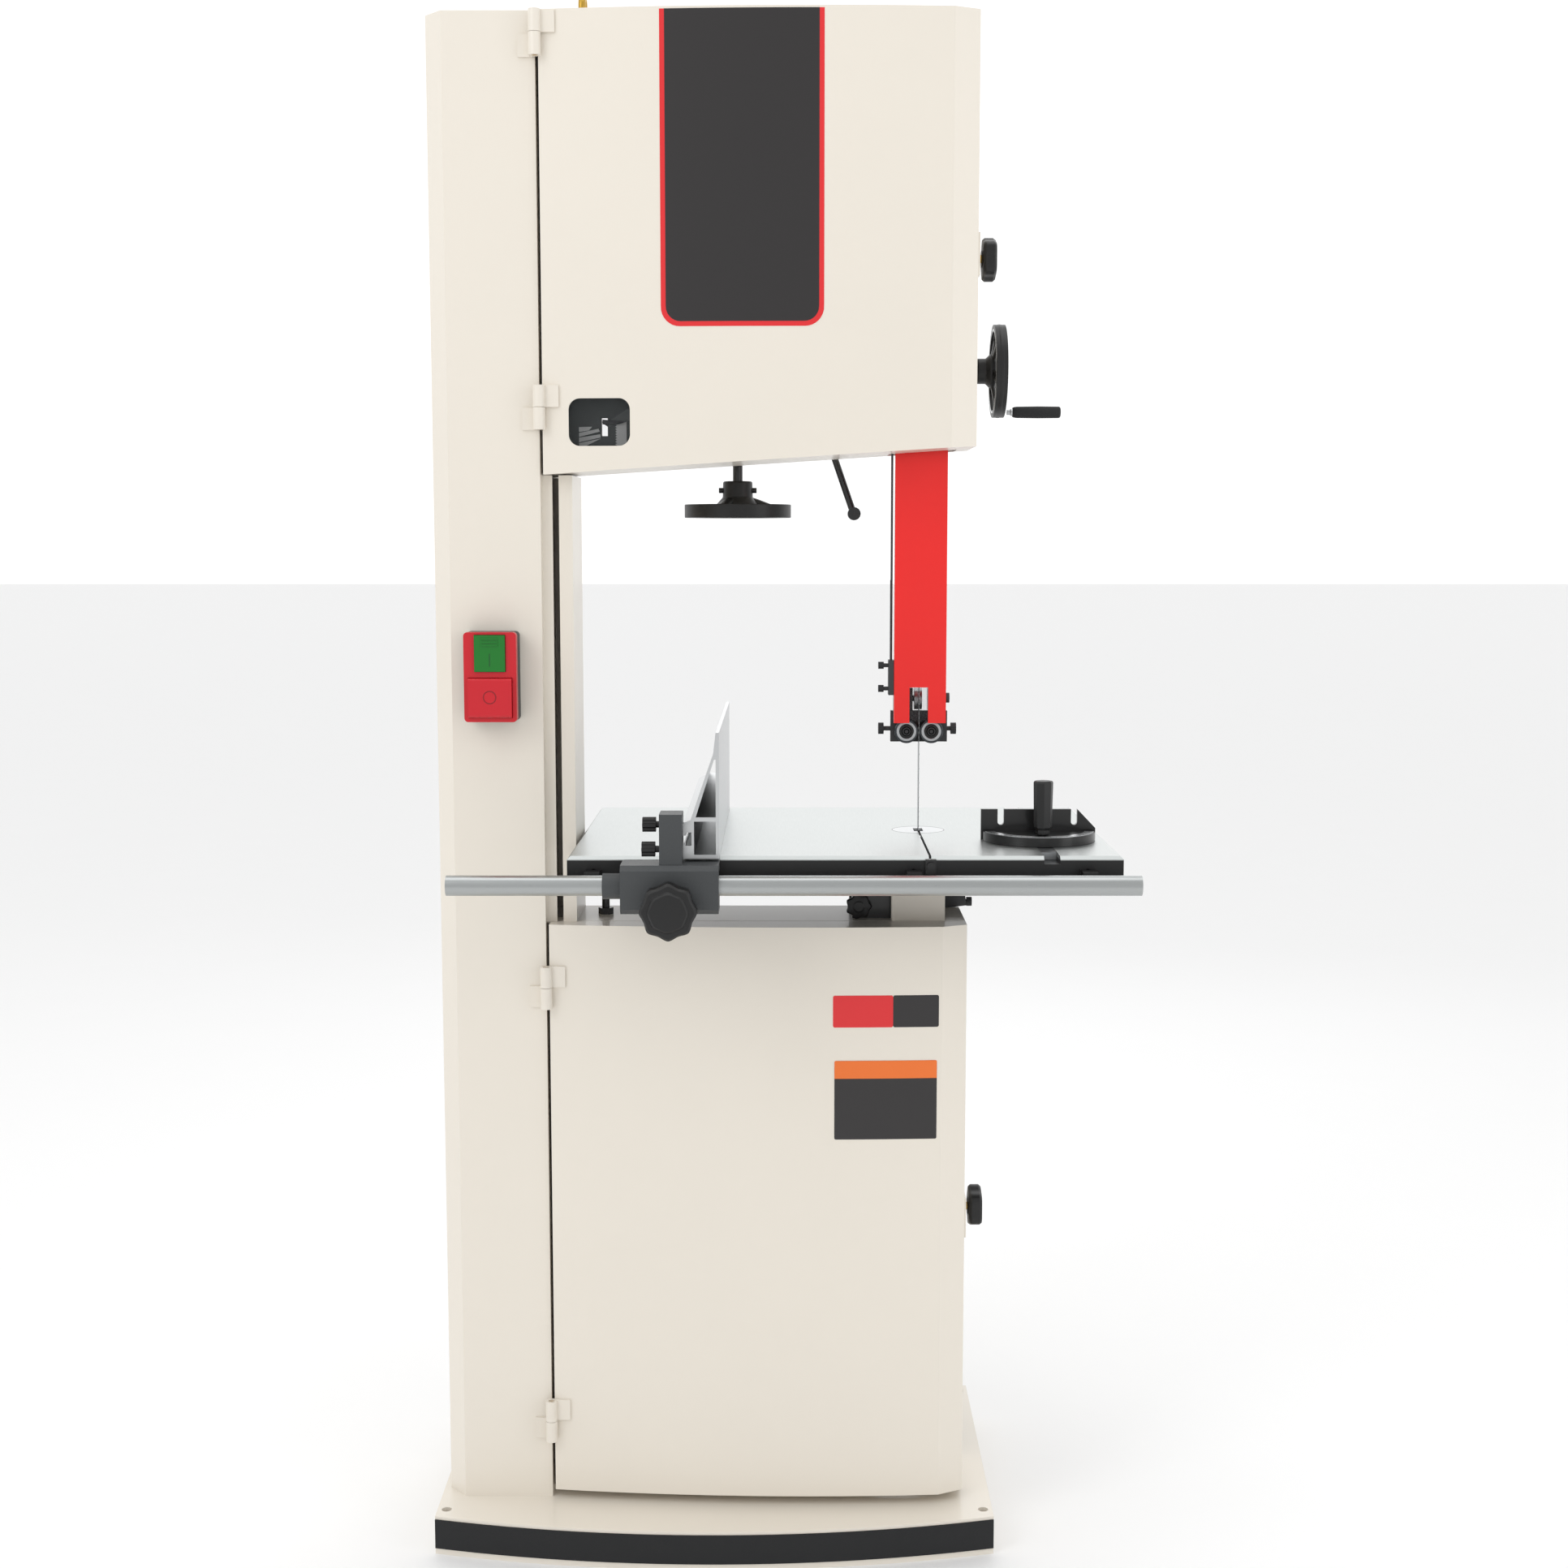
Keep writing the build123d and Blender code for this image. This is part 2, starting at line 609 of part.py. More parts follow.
def wheel_carriage():
    """Sliding block that holds the upper axle, with the nut of the tension screw."""
    z = UPPER_WHEEL_Z
    body = block((WHEEL_X - 53.7, WHEEL_X + 53.7), (HOUSING_Y[1] + 1, 55), (1604, 1722))
    body += block((TENSION_X - 20, TENSION_X + 20), (54, TENSION_Y + 20), (1604, 1640))
    body -= rod(AXLE_R, (WHEEL_X, 20, z), (WHEEL_X, 60, z))
    bore = TENSION_SCREW_R + RUNNING_FIT
    body -= rod(bore, (TENSION_X, TENSION_Y, 1590), (TENSION_X, TENSION_Y, 1650))
    return body - rod(20.05, (WHEEL_X, 28, z), (WHEEL_X, 31, z))


def tension_spring():
    """Heavy spring and its seats under the carriage nut, as one sleeve."""
    coils = ring(15.4, 10.6, (TENSION_X, TENSION_Y, 1501), (TENSION_X, TENSION_Y, 1601.8))
    seat = ring(18, 8.6, (TENSION_X, TENSION_Y, 1494), (TENSION_X, TENSION_Y, 1501))
    cap = ring(18, 8.6, (TENSION_X, TENSION_Y, 1601.8), (TENSION_X, TENSION_Y, 1604))
    return group([coils, seat, cap])


def tension_screw():
    """Tension screw with the collar that bears on the thrust plate."""
    x, y = TENSION_X, TENSION_Y
    screw = rod(TENSION_SCREW_R, (x, y, 1340), (x, y, 1660))
    screw += rod(15, (x, y, THRUST_Z[1] + 0.3), (x, y, THRUST_Z[1] + 14))
    return screw + rod(13, (x, y, THRUST_Z[0] - 6), (x, y, THRUST_Z[0] - 0.3))


def tension_handwheel():
    """Three-spoke handwheel under the upper housing."""
    x, y = TENSION_X, TENSION_Y
    rim = ring(70.5, 58, (x, y, 1322), (x, y, 1339.4))
    rim = fillet(rim.edges().filter_by(GeomType.CIRCLE), 3)
    hub = rod(19.5, (x, y, 1338), (x, y, 1370))
    hub += cone(30, 19, (x, y, 1338), (x, y, 1350))
    body = rim + hub
    for spoke in range(3):
        arm = prism([(12, 1352), (60, 1336), (60, 1326), (20, 1338), (12, 1338)], "Y", -8, 8)
        body += Pos(x, y, 0) * Rot(0, 0, 90 + 120 * spoke) * arm
    return body - rod(TENSION_SCREW_R, (x, y, 1337), (x, y, 1380))


def tension_grub_screws():
    """Two set screws in the handwheel hub."""
    z = 1358
    screws = []
    for side in (1, -1):
        start = (TENSION_X + side * 19.5, TENSION_Y, z)
        screws.append(rod(3.5, start, (TENSION_X + side * 25, TENSION_Y, z)))
    return group(screws)


def tension_cover():
    """Sheet cover over the carriage, slotted for the tracking screw."""
    x = (WHEEL_X - 78, WHEEL_X + 78)
    y = (HOUSING_Y[1], HOUSING_Y[1] + 82)
    z = (THRUST_Z[1], 1830)
    cover = block(x, y, z) - block((x[0] + 2, x[1] - 2), (y[0] - 1, y[1] - 2), (z[0] - 1, z[1] - 2))
    # slots for the tracking screw and for the pointer's arm
    cover -= block((WHEEL_X - 8, WHEEL_X + 8), (y[1] - 4, y[1] + 1), (TRACK_Z - 21, TRACK_Z + 9))
    return cover - block((x[0] - 1, x[0] + 3), (34, 50), (1418, 1452))


def tension_pointer():
    """Arm from the carriage to the window, ending in the pointer of the scale."""
    drop = block((WHEEL_X - 50, WHEEL_X - 40), (38, 44), (1436, 1604))
    arm = block((-402, WHEEL_X - 45), (38, 44), (1436, 1442))
    reach = rod(2.5, (-400, 42, 1439), (-400, -84, 1439))
    needle = prism([(-402, 1436), (-376, 1438.5), (-376, 1440), (-402, 1442)], "Y", -86, -83.5)
    return join([drop, arm, reach, needle])


def tension_scale_plate():
    """Scale plate that stands behind the door window."""
    low = [(x, upper_bottom(x, HOUSING_WALL)) for x in (-448, -358)]
    plate = prism([*low, (-358, 1476), (-448, 1476)], "Y", -79, -77)
    return plate - block((-404, -396), (-80, -76), (1422, 1444))


def tracking_knob():
    """Tracking screw with its lobed knob behind the cover."""
    x, z = WHEEL_X, TRACK_Z
    screw = rod(5, (x, 55.3, z), (x, 122, z))
    knob = lobed(22, 4, 7, (x, 118, z), (x, 136, z))
    return screw + knob


def release_parts():
    """Quick-release lever: boss on the housing, lever with hub and arm, and its grip."""
    x, z = LEVER_PIVOT
    y = HOUSING_Y[1]
    boss = rod(15, (x, y, z), (x, y + 22, z)) + rod(7, (x, y + 21, z), (x, y + 42, z))
    hub = ring(13, 7 + RUNNING_FIT, (x, y + 23, z), (x, y + 38, z))
    tip = (LEVER_TIP[0], y + 30, LEVER_TIP[1])
    arm = rod(4.5, (x, y + 30, z), tip) - rod(12, (x, y + 20, z), (x, y + 40, z))
    pin = rod(4, (tip[0], y + 36, tip[2]), (tip[0], y + 8, tip[2]))
    grip = rod(8.5, (tip[0], y + 25, tip[2]), (tip[0], y + 5, tip[2]))
    lever = hub + arm + pin
    return boss, lever, grip - lever


# ---------------------------------------------------------------- guide post and upper guides


def guide_post():
    """Square guide post."""
    return block(POST_X, POST_Y, (1072, POST_TOP))


def rack_points():
    """Side outline of the rack: one tooth after another between two heights."""
    root_y = RACK_PITCH_Y + DEDENDUM
    tip_y = RACK_PITCH_Y - ADDENDUM
    root_half = TOOTH_HALF + DEDENDUM * TOOTH_SLOPE
    tip_half = TOOTH_HALF - ADDENDUM * TOOTH_SLOPE
    points = []
    for tooth in range(-RACK_TEETH_BELOW, RACK_TEETH_ABOVE):
        z = POST_SHAFT_Z + (tooth + 0.5) * RACK_PITCH
        points += [(root_y, z - root_half), (tip_y, z - tip_half), (tip_y, z + tip_half), (root_y, z + root_half)]
    low = points[0][1] - 2
    high = points[-1][1] + 2
    return [(POST_Y[0], low), (root_y, low), *points, (root_y, high), (POST_Y[0], high)]


def post_rack():
    """Toothed rack screwed to the front of the post."""
    return prism(rack_points(), "X", 14, 30)


def post_pinion_shaft():
    """Shaft of the post lift with its pinion."""
    y, z = POST_SHAFT_Y, POST_SHAFT_Z
    root_r = PINION_R - DEDENDUM
    tip_r = PINION_R + ADDENDUM
    root_half = TOOTH_HALF + DEDENDUM * TOOTH_SLOPE
    tip_half = TOOTH_HALF - ADDENDUM * TOOTH_SLOPE
    body = rod(root_r, (13, y, z), (31, y, z)) + rod(8, (9, y, z), (92, y, z))
    for tooth in range(PINION_TEETH):
        flank = [(root_r - 2, -root_half), (tip_r, -tip_half), (tip_r, tip_half), (root_r - 2, root_half)]
        shape = prism(flank, "X", 13.5, 30.5)
        body += Pos(0, y, z) * Rot(360 / PINION_TEETH * tooth, 0, 0) * shape
    return body


def post_guide():
    """Guide casting that the post slides in, fixed to the back of the housing."""
    body = block((4, 54), (-14, HOUSING_Y[1] - HOUSING_WALL), (1430, 1484))
    gap = 0.3
    body -= block((POST_X[0] - gap, POST_X[1] + gap), (-4.4, POST_Y[1] + gap), (1425, 1490))
    return body


def post_shaft_bushing():
    """Flanged bushing in the housing's right side."""
    x = HOUSING_X[1]
    y, z = POST_SHAFT_Y, POST_SHAFT_Z
    bush = rod(11, (x - 14, y, z), (x, y, z)) + rod(17, (x, y, z), (x + 4, y, z))
    return bush - rod(8 + RUNNING_FIT, (x - 15, y, z), (x + 5, y, z))


def post_handwheel():
    """Five-spoke crank wheel of the post lift."""
    y, z = POST_SHAFT_Y, POST_SHAFT_Z
    rim = ring(59, 49, (90, y, z), (105, y, z))
    rim = fillet(rim.edges().filter_by(GeomType.CIRCLE), 3)
    hub = rod(16, (70, y, z), (100, y, z))
    body = rim + hub
    for spoke in range(5):
        arm = prism([(12, -7), (51, -5), (51, 5), (12, 7)], "X", 92, 99)
        body += Pos(0, y, z) * Rot(-90 + 72 * spoke, 0, 0) * arm
    body += rod(9, (98, y, CRANK_Z), (108, y, CRANK_Z))
    return body - rod(8, (69, y, z), (93, y, z))


def crank_parts():
    """Crank spindle and the free-turning grip on it."""
    y = POST_SHAFT_Y
    spindle = rod(3.5, (108, y, CRANK_Z), (181, y, CRANK_Z)) + rod(5.5, (108, y, CRANK_Z), (112, y, CRANK_Z))
    spindle += rod(5.5, (178, y, CRANK_Z), (182, y, CRANK_Z))
    grip = cone(6, 7.6, (113, y, CRANK_Z), (135, y, CRANK_Z)) + rod(7.6, (134.9, y, CRANK_Z), (177.5, y, CRANK_Z))
    return spindle, grip - rod(3.5 + RUNNING_FIT, (112, y, CRANK_Z), (178, y, CRANK_Z))


def blade_guard():
    """Red sheet guard in front of the blade, with its notch and a bracket to the post."""
    low, high = GUARD_Z
    guard = block((-34, 33), (-32, -30.5), (low, high))
    guard += block((-34, -32.5), (-32, -22.5), (low, high))
    guard += block((31.5, 33), (-32, -24.5), (low, high))
    guard += block((31.5, 33), (-32, 2.9), (low + 6, low + 92))
    guard += block((POST_X[1], 33), (2.5, 20), (low + 30, low + 92))
    return guard - block((-14, 10), (-33, -29), (low - 1, low + 46))


def guard_stay():
    """Black side strip, thin rod and grey clamp bracket at the left of the guard."""
    strip = block((-39, -36.5), (-31, -23), (1241, 1500))
    wire = rod(1.6, (-38, -27, 1139), (-38, -27, 1242))
    bracket = block((-41, -34.2), (-31, -9), (1094, 1139))
    return group([join([strip, wire]), bracket])


def guide_head():
    """Guide head clamped to the foot of the post, with the arm of the thrust bearing."""
    body = block((-36, 38), (12, 24), (1030, 1070.5))
    body += block((-32, -7), (16, 30), (1069.5, 1100))
    for side in (-1, 1):
        body -= rod(5, (side * SIDE_X, 10, 1045), (side * SIDE_X, 26, 1045))
    return body - rod(4, (-30, 24.4, 1086), (-6, 24.4, 1086))


def guide_spindles():
    """Fixed spindles of the three upper guide bearings."""
    spindles = []
    for side in (-1, 1):
        centre = side * SIDE_X
        spindle = rod(5, (centre, -9, 1045), (centre, 24, 1045))
        spindle += rod(7.5, (centre, 7.5, 1045), (centre, 12, 1045))
        spindles.append(spindle)
    spindles.append(rod(4, (-28, 24.4, 1086), (5, 24.4, 1086)))
    return group(spindles)


def side_bearing(side, z, radius, bore):
    """Side guide bearing that rolls on the blade's flank."""
    x = side * (radius + 0.7)
    body = ring(radius, bore + RUNNING_FIT, (x, -7, z), (x, 6, z))
    return body - ring(radius - 3.5, bore + 3.5, (x, -8, z), (x, -6.2, z))


def thrust_bearing(z, radius, bore):
    """Bearing behind the blade's back edge."""
    y = BLADE_W / 2 + 0.4 + radius
    return ring(radius, bore + RUNNING_FIT, (-5, y, z), (5, y, z))


def knurled_screw(start, end, head, shank):
    """Thumb screw: a thin shank and a knurled head at its far end."""
    run = (Vector(*end) - Vector(*start)).normalized()
    neck = Vector(*end) - run * 7
    return rod(shank, start, tuple(neck)) + lobed(head, 0.8, 18, tuple(neck), end)


def guide_screws():
    """Clamp screws of the upper guides."""
    screws = [
        knurled_screw((-36, 18, 1047), (-52, 18, 1047), 7.5, 3),
        knurled_screw((38, 18, 1047), (50, 18, 1047), 7.5, 3),
        knurled_screw((-41, -20, 1082 + 20), (-54, -20, 1102), 4.6, 2.6),
        knurled_screw((-41, -20, 1132), (-54, -20, 1132), 4.6, 2.6),
        rod(6.5, (33, -20, 1090), (38, -20, 1090)),
    ]
    return group(screws)


# ---------------------------------------------------------------- lower guides


def lower_guide_bracket():
    """Bracket on the lower housing that holds the guides under the table."""
    y = (13, 26)
    body = block((6, 40), y, (LOWER_HOUSING_Z[1], 828))
    body += prism([(6, 826), (20, 826), (20, 852), (6, 852)], "Y", 14, 26)
    body += block((-26, -8), y, (LOWER_HOUSING_Z[1], 850))
    body += prism([(38, 826), (40, 809), (66, 812), (64, 826)], "Y", *y)
    for side in (-1, 1):
        body -= rod(4, (side * 12.7, 10, 838), (side * 12.7, 30, 838))
    return body


def lower_guide_spindles():
    """Fixed spindles of the lower side bearings and of the lower thrust bearing."""
    spindles = [rod(4, (side * 12.7, -8, 838), (side * 12.7, 26, 838)) for side in (-1, 1)]
    spindles.append(rod(3, (-8, 18.9, 822), (6, 18.9, 822)))
    return group(spindles)


def lower_guide_screws():
    """Knurled screw at the end of the lower guide arm."""
    return knurled_screw((65, 19, 816.5), (73, 19, 816.5), 6, 3)


def lower_blade_cover():
    """Cream cover plate in front of the blade, between the housing and the table."""
    plate = block((-35, 30), (-84, -82.5), (809, 842))
    return plate + block((-35, -33.5), (-84, -68), (809, 842)) + rod(2.5, (-36.5, -82, 809), (-36.5, -82, 842))


# ---------------------------------------------------------------- table


def table():
    """Cast table: plate, rim and ribs, with its insert seat, saw slot and mitre slot."""
    low = TABLE_TOP - TABLE_T
    under = TABLE_TOP - PLATE_T
    body = block(TABLE_X, TABLE_Y, (low, TABLE_TOP))
    body = chamfer(body.faces().sort_by(Axis.Z)[-1].edges(), 4)
    x = (TABLE_X[0] + 10, TABLE_X[1] - 10)
    y = (TABLE_Y[0] + 10, TABLE_Y[1] - 10)
    body -= block(x, y, (low - 1, under))
    for rib_x in (-330, -200, -110):
        body += block((rib_x - 4, rib_x + 4), y, (low, under))
    body += block((MITRE_X - 18, MITRE_X + 18), y, (low + 4, under))
    body -= rod(INSERT_R, (0, 0, TABLE_TOP - 3), (0, 0, TABLE_TOP + 1))
    body -= rod(INSERT_R - 4, (0, 0, low - 1), (0, 0, TABLE_TOP))
    body -= block((-1.5, 1.5), (TABLE_Y[0] - 1, 0), (low - 1, TABLE_TOP + 1))
    half = MITRE_SLOT_W / 2
    body -= block((MITRE_X - half, MITRE_X + half), (-300, 300), (TABLE_TOP - MITRE_SLOT_D, TABLE_TOP + 1))
    for hole_x in RAIL_BRACKET_X:
        body -= rod(3, (hole_x, TABLE_Y[0] - 1, low + 6), (hole_x, TABLE_Y[0] + 9, low + 6))
    return body


def table_insert():
    """Round throat plate with the blade's opening and its slit to the front."""
    plate = rod(INSERT_R - 0.1, (0, 0, TABLE_TOP - 3), (0, 0, TABLE_TOP))
    plate -= block((-6, 6), (-14, 14), (TABLE_TOP - 4, TABLE_TOP + 1))
    return plate - block((-1.5, 1.5), (-INSERT_R - 1, 0), (TABLE_TOP - 4, TABLE_TOP + 1))


def table_pin():
    """Levelling pin at the front end of the saw slot."""
    y = TABLE_Y[0]
    return block((-6, 7), (y - 7, y), (893, 912)) + rod(5, (0.5, y - 7, 904), (0.5, y - 11, 904))


def trunnion_plate(y_low, y_high):
    """Fan-shaped trunnion under the table, centred on the tilt axis."""
    fan = [(0, TABLE_TOP)]
    for step in range(5):
        angle = math.radians(-142 + 10 * step)
        fan.append((160 * math.cos(angle), TABLE_TOP + 160 * math.sin(angle)))
    plate = prism(fan, "Y", y_low, y_high) & rod(TRUNNION_R, (0, y_low, TABLE_TOP), (0, y_high, TABLE_TOP))
    return plate & block((-200, 50), (y_low, y_high), (700, TABLE_TOP - PLATE_T))


def table_trunnions():
    """Front and rear trunnions."""
    return group([trunnion_plate(-62, -50), trunnion_plate(62, 74)])


def trunnion_brackets():
    """Cradles that carry the trunnions on the lower housing."""
    cradles = []
    for y_low, y_high, reach in ((-66, -46, -46), (58, 78, HOUSING_Y[1])):
        body = block((-88, -20), (y_low, y_high), (LOWER_HOUSING_Z[1], 858))
        if reach == HOUSING_Y[1]:
            body += block((-88, -20), (reach, y_high), (780, LOWER_HOUSING_Z[1]))
        gap = TRUNNION_R + 0.3
        body -= rod(gap, (0, y_low - 1, TABLE_TOP), (0, y_high + 1, TABLE_TOP))
        cradles.append(body)
    return group(cradles)


def tilt_knob():
    """Lobed knob that locks the table's tilt."""
    screw = rod(4, (-80, -66.3, 826), (-80, -74, 826))
    return screw + lobed(17, 3.5, 7, (-80, -71, 826), (-80, -82, 826))


def table_stop():
    """Stop bolt under the left of the table, with its lock nut."""
    x, y = -408, -30
    bolt = rod(5, (x, y, LOWER_HOUSING_Z[1]), (x, y, 902.5))
    nut = Pos(x, y, LOWER_HOUSING_Z[1]) * extrude(RegularPolygon(9.8, 6), amount=8)
    cap = Pos(x, y, 880) * extrude(RegularPolygon(9.8, 6), amount=7)
    return bolt + nut + cap


# ---------------------------------------------------------------- fence and mitre gauge


def rail():
    """Round tube rail along the front of the table."""
    return ring(RAIL_R, RAIL_R - 2.5, (-577, RAIL_Y, RAIL_Z), (249, RAIL_Y, RAIL_Z))


def rail_brackets():
    """Brackets that hold the rail off the table's front edge, with their screws."""
    parts = []
    for x in RAIL_BRACKET_X:
        body = block((x - 9, x + 9), (RAIL_Y + 8, TABLE_Y[0]), (880, 899))
        parts.append(body - rod(RAIL_R, (x - 10, RAIL_Y, RAIL_Z), (x + 10, RAIL_Y, RAIL_Z)))
    return group(parts)


def fence_head():
    """Cast fence head round the rail, with its collar and its post."""
    body = block((-369, -253), (-300, -250), (854, 912))
    body = chamfer(body.edges().filter_by(Axis.X).group_by(Axis.Y)[0], 6)
    body += block((-323, -296), (-292, -252), (911, 972))
    body += rod(16, (-391, RAIL_Y, RAIL_Z), (-368, RAIL_Y, RAIL_Z))
    body += rod(14, (-311, -301, 862), (-311, -299, 862))
    body -= rod(RAIL_R + 0.3, (-392, RAIL_Y, RAIL_Z), (-252, RAIL_Y, RAIL_Z))
    body -= block((-392, -252), (RAIL_Y, -249), (876.5, 901))
    return body - block((-392, -368), (RAIL_Y - 4, -249), (860, 901.5)) - rod(6, (-311, -302, 862), (-311, -288, 862))


def fence_extrusion():
    """Aluminium fence section with its face, web, foot and side slot."""
    y_low, y_high = -262, 232
    foot = TABLE_TOP + 0.4
    outline = [(-296, foot), (-253, foot), (-253, 1066), (-257, 1066), (-260, 1040), (-287, 962), (-296, 958)]
    body = prism(outline, "Y", y_low, y_high)
    y_cut = (y_low - 1, y_high + 1)
    body -= prism([(-281, 965), (-257, 965), (-257, 1034), (-259, 1034)], "Y", *y_cut)
    body -= block((-283, -257), y_cut, (920, 960))
    body -= block((-297, -292.5), y_cut, (935, 943))
    return body - block((-293, -286), y_cut, (931, 947))


def fence_lock_knob():
    """Large lobed knob that locks the fence head to the rail."""
    start = (-311, -308, 862)
    body = lobed(35, 6, 8, start, (-311, -334, 862)) + rod(24, (-311, -333, 862), (-311, -338, 862))
    return body + rod(13, (-311, -301.5, 862), (-311, -309, 862)) + rod(5.9, (-311, -289, 862), (-311, -302, 862))


def fence_thumb_knobs():
    """Two thumb knobs that clamp the extrusion to the post."""
    knobs = []
    for y, z in ((-282, 930), (-264, 957)):
        knobs.append(lobed(9, 2, 6, (-328, y, z), (-344, y, z)) + rod(4, (-323.3, y, z), (-330, y, z)))
    return knobs


def mitre_bar():
    """Steel bar that slides in the mitre slot."""
    half = MITRE_SLOT_W / 2 - 0.35
    return block((MITRE_X - half, MITRE_X + half), (-205, 150), (TABLE_TOP - MITRE_SLOT_D + 0.4, TABLE_TOP - 0.4))


def mitre_head():
    """Half-round mitre head with its upright plate and two open slots."""
    y = MITRE_Y
    low = TABLE_TOP + 0.4
    body = rod(71, (MITRE_X, y, low), (MITRE_X, y, low + 11))
    body &= block((0, 300), (y - 80, y + 6), (low - 1, low + 12))
    plate = [(74, low), (219, low), (219, 930), (196, 954), (74, 954)]
    body += prism(plate, "Y", y, y + 7)
    for x in (99, 192):
        body -= block((x - 4, x + 4), (y - 1, y + 8), (938, 960))
        body -= rod(4, (x, y - 1, 938), (x, y + 8, 938))
    return body - rod(5.2, (MITRE_X, MITRE_HANDLE_Y, low - 1), (MITRE_X, MITRE_HANDLE_Y, low + 12))


def mitre_scale():
    """Silver degree arc let on to the mitre head."""
    y = MITRE_Y
    low = TABLE_TOP + 11.4
    arc = ring(69, 56, (MITRE_X, y, low), (MITRE_X, y, low + 0.6))
    return arc & block((0, 300), (y - 80, y - 6), (low - 1, low + 2))


def mitre_handle():
    """Eight-sided mitre lock handle."""
    low = TABLE_TOP + 12.3
    grip = Pos(MITRE_X, MITRE_HANDLE_Y, low) * Rot(0, 0, 22.5) * extrude(RegularPolygon(13.5, 8), amount=68)
    return grip + rod(5, (MITRE_X, MITRE_HANDLE_Y, TABLE_TOP + 1), (MITRE_X, MITRE_HANDLE_Y, low + 1))


# ---------------------------------------------------------------- switch and fasteners


def switch_box():
    """Dark back box of the switch on the column."""
    box = block(SWITCH_X, (SWITCH_Y - 26, SWITCH_Y), SWITCH_Z)
    box = fillet(box.edges().filter_by(Axis.Y), 5)
    return box - block((-567, -509), (SWITCH_Y - 27, SWITCH_Y - 8), (1073, 1178))


def switch_cover():
    """Red cover with a recess for the start button and an opening for the stop paddle."""
    cover = block(SWITCH_X, (SWITCH_Y - 40, SWITCH_Y - 26.0), SWITCH_Z)
    cover = fillet(cover.edges().filter_by(Axis.Y), 5)
    cover -= block((-558, -519), (SWITCH_Y - 41, SWITCH_Y - 25), (1131, 1177))
    return cover - block((-566, -511), (SWITCH_Y - 41, SWITCH_Y - 25), (1074, 1124))


def start_button():
    """Green start button with grip ribs."""
    button = block((-557.5, -519.5), (SWITCH_Y - 43, SWITCH_Y - 14), (1131.5, 1176.5))
    for rib in range(3):
        z = 1163 + 4 * rib
        button += block((-549, -528), (SWITCH_Y - 44, SWITCH_Y - 42), (z, z + 2))
    return button


def stop_paddle():
    """Red stop paddle with a raised ring."""
    paddle = block((-565.5, -511.5), (SWITCH_Y - 47, SWITCH_Y - 14), (1074.5, 1123.5))
    paddle = fillet(paddle.edges().filter_by(Axis.X).group_by(Axis.Y)[0], 4)
    return paddle - ring(8, 7, (-538.5, SWITCH_Y - 48, 1100), (-538.5, SWITCH_Y - 46.2, 1100))


def hex_bolt(point, along, size, height):
    """Hex bolt head that sits on a face."""
    plane = Plane(origin=point, z_dir=along)
    return plane * extrude(RegularPolygon(size / math.sqrt(3), 6), amount=height)


def frame_bolts():
    """Bolts of the bearing housing, the motor flange, the guide casting and the dust port."""
    bolts = []
    y = HOUSING_Y[1]
    for turn in range(4):
        angle = math.radians(45 + 90 * turn)
        c, s = math.cos(angle), math.sin(angle)
        bolts.append(hex_bolt((WHEEL_X + 51 * c, y + 8, LOWER_WHEEL_Z + 51 * s), (0, 1, 0), 13, 6))
        between = angle + math.radians(7.5)
        flange_point = (WHEEL_X + 82 * math.cos(between), MOTOR_FACE_Y + 12, MOTOR_Z + 82 * math.sin(between))
        bolts.append(hex_bolt(flange_point, (0, 1, 0), 10, 5))
        bolts.append(hex_bolt((PORT_X + 74 * c, y + 3, PORT_Z + 74 * s), (0, 1, 0), 8, 4))
    return group(bolts)


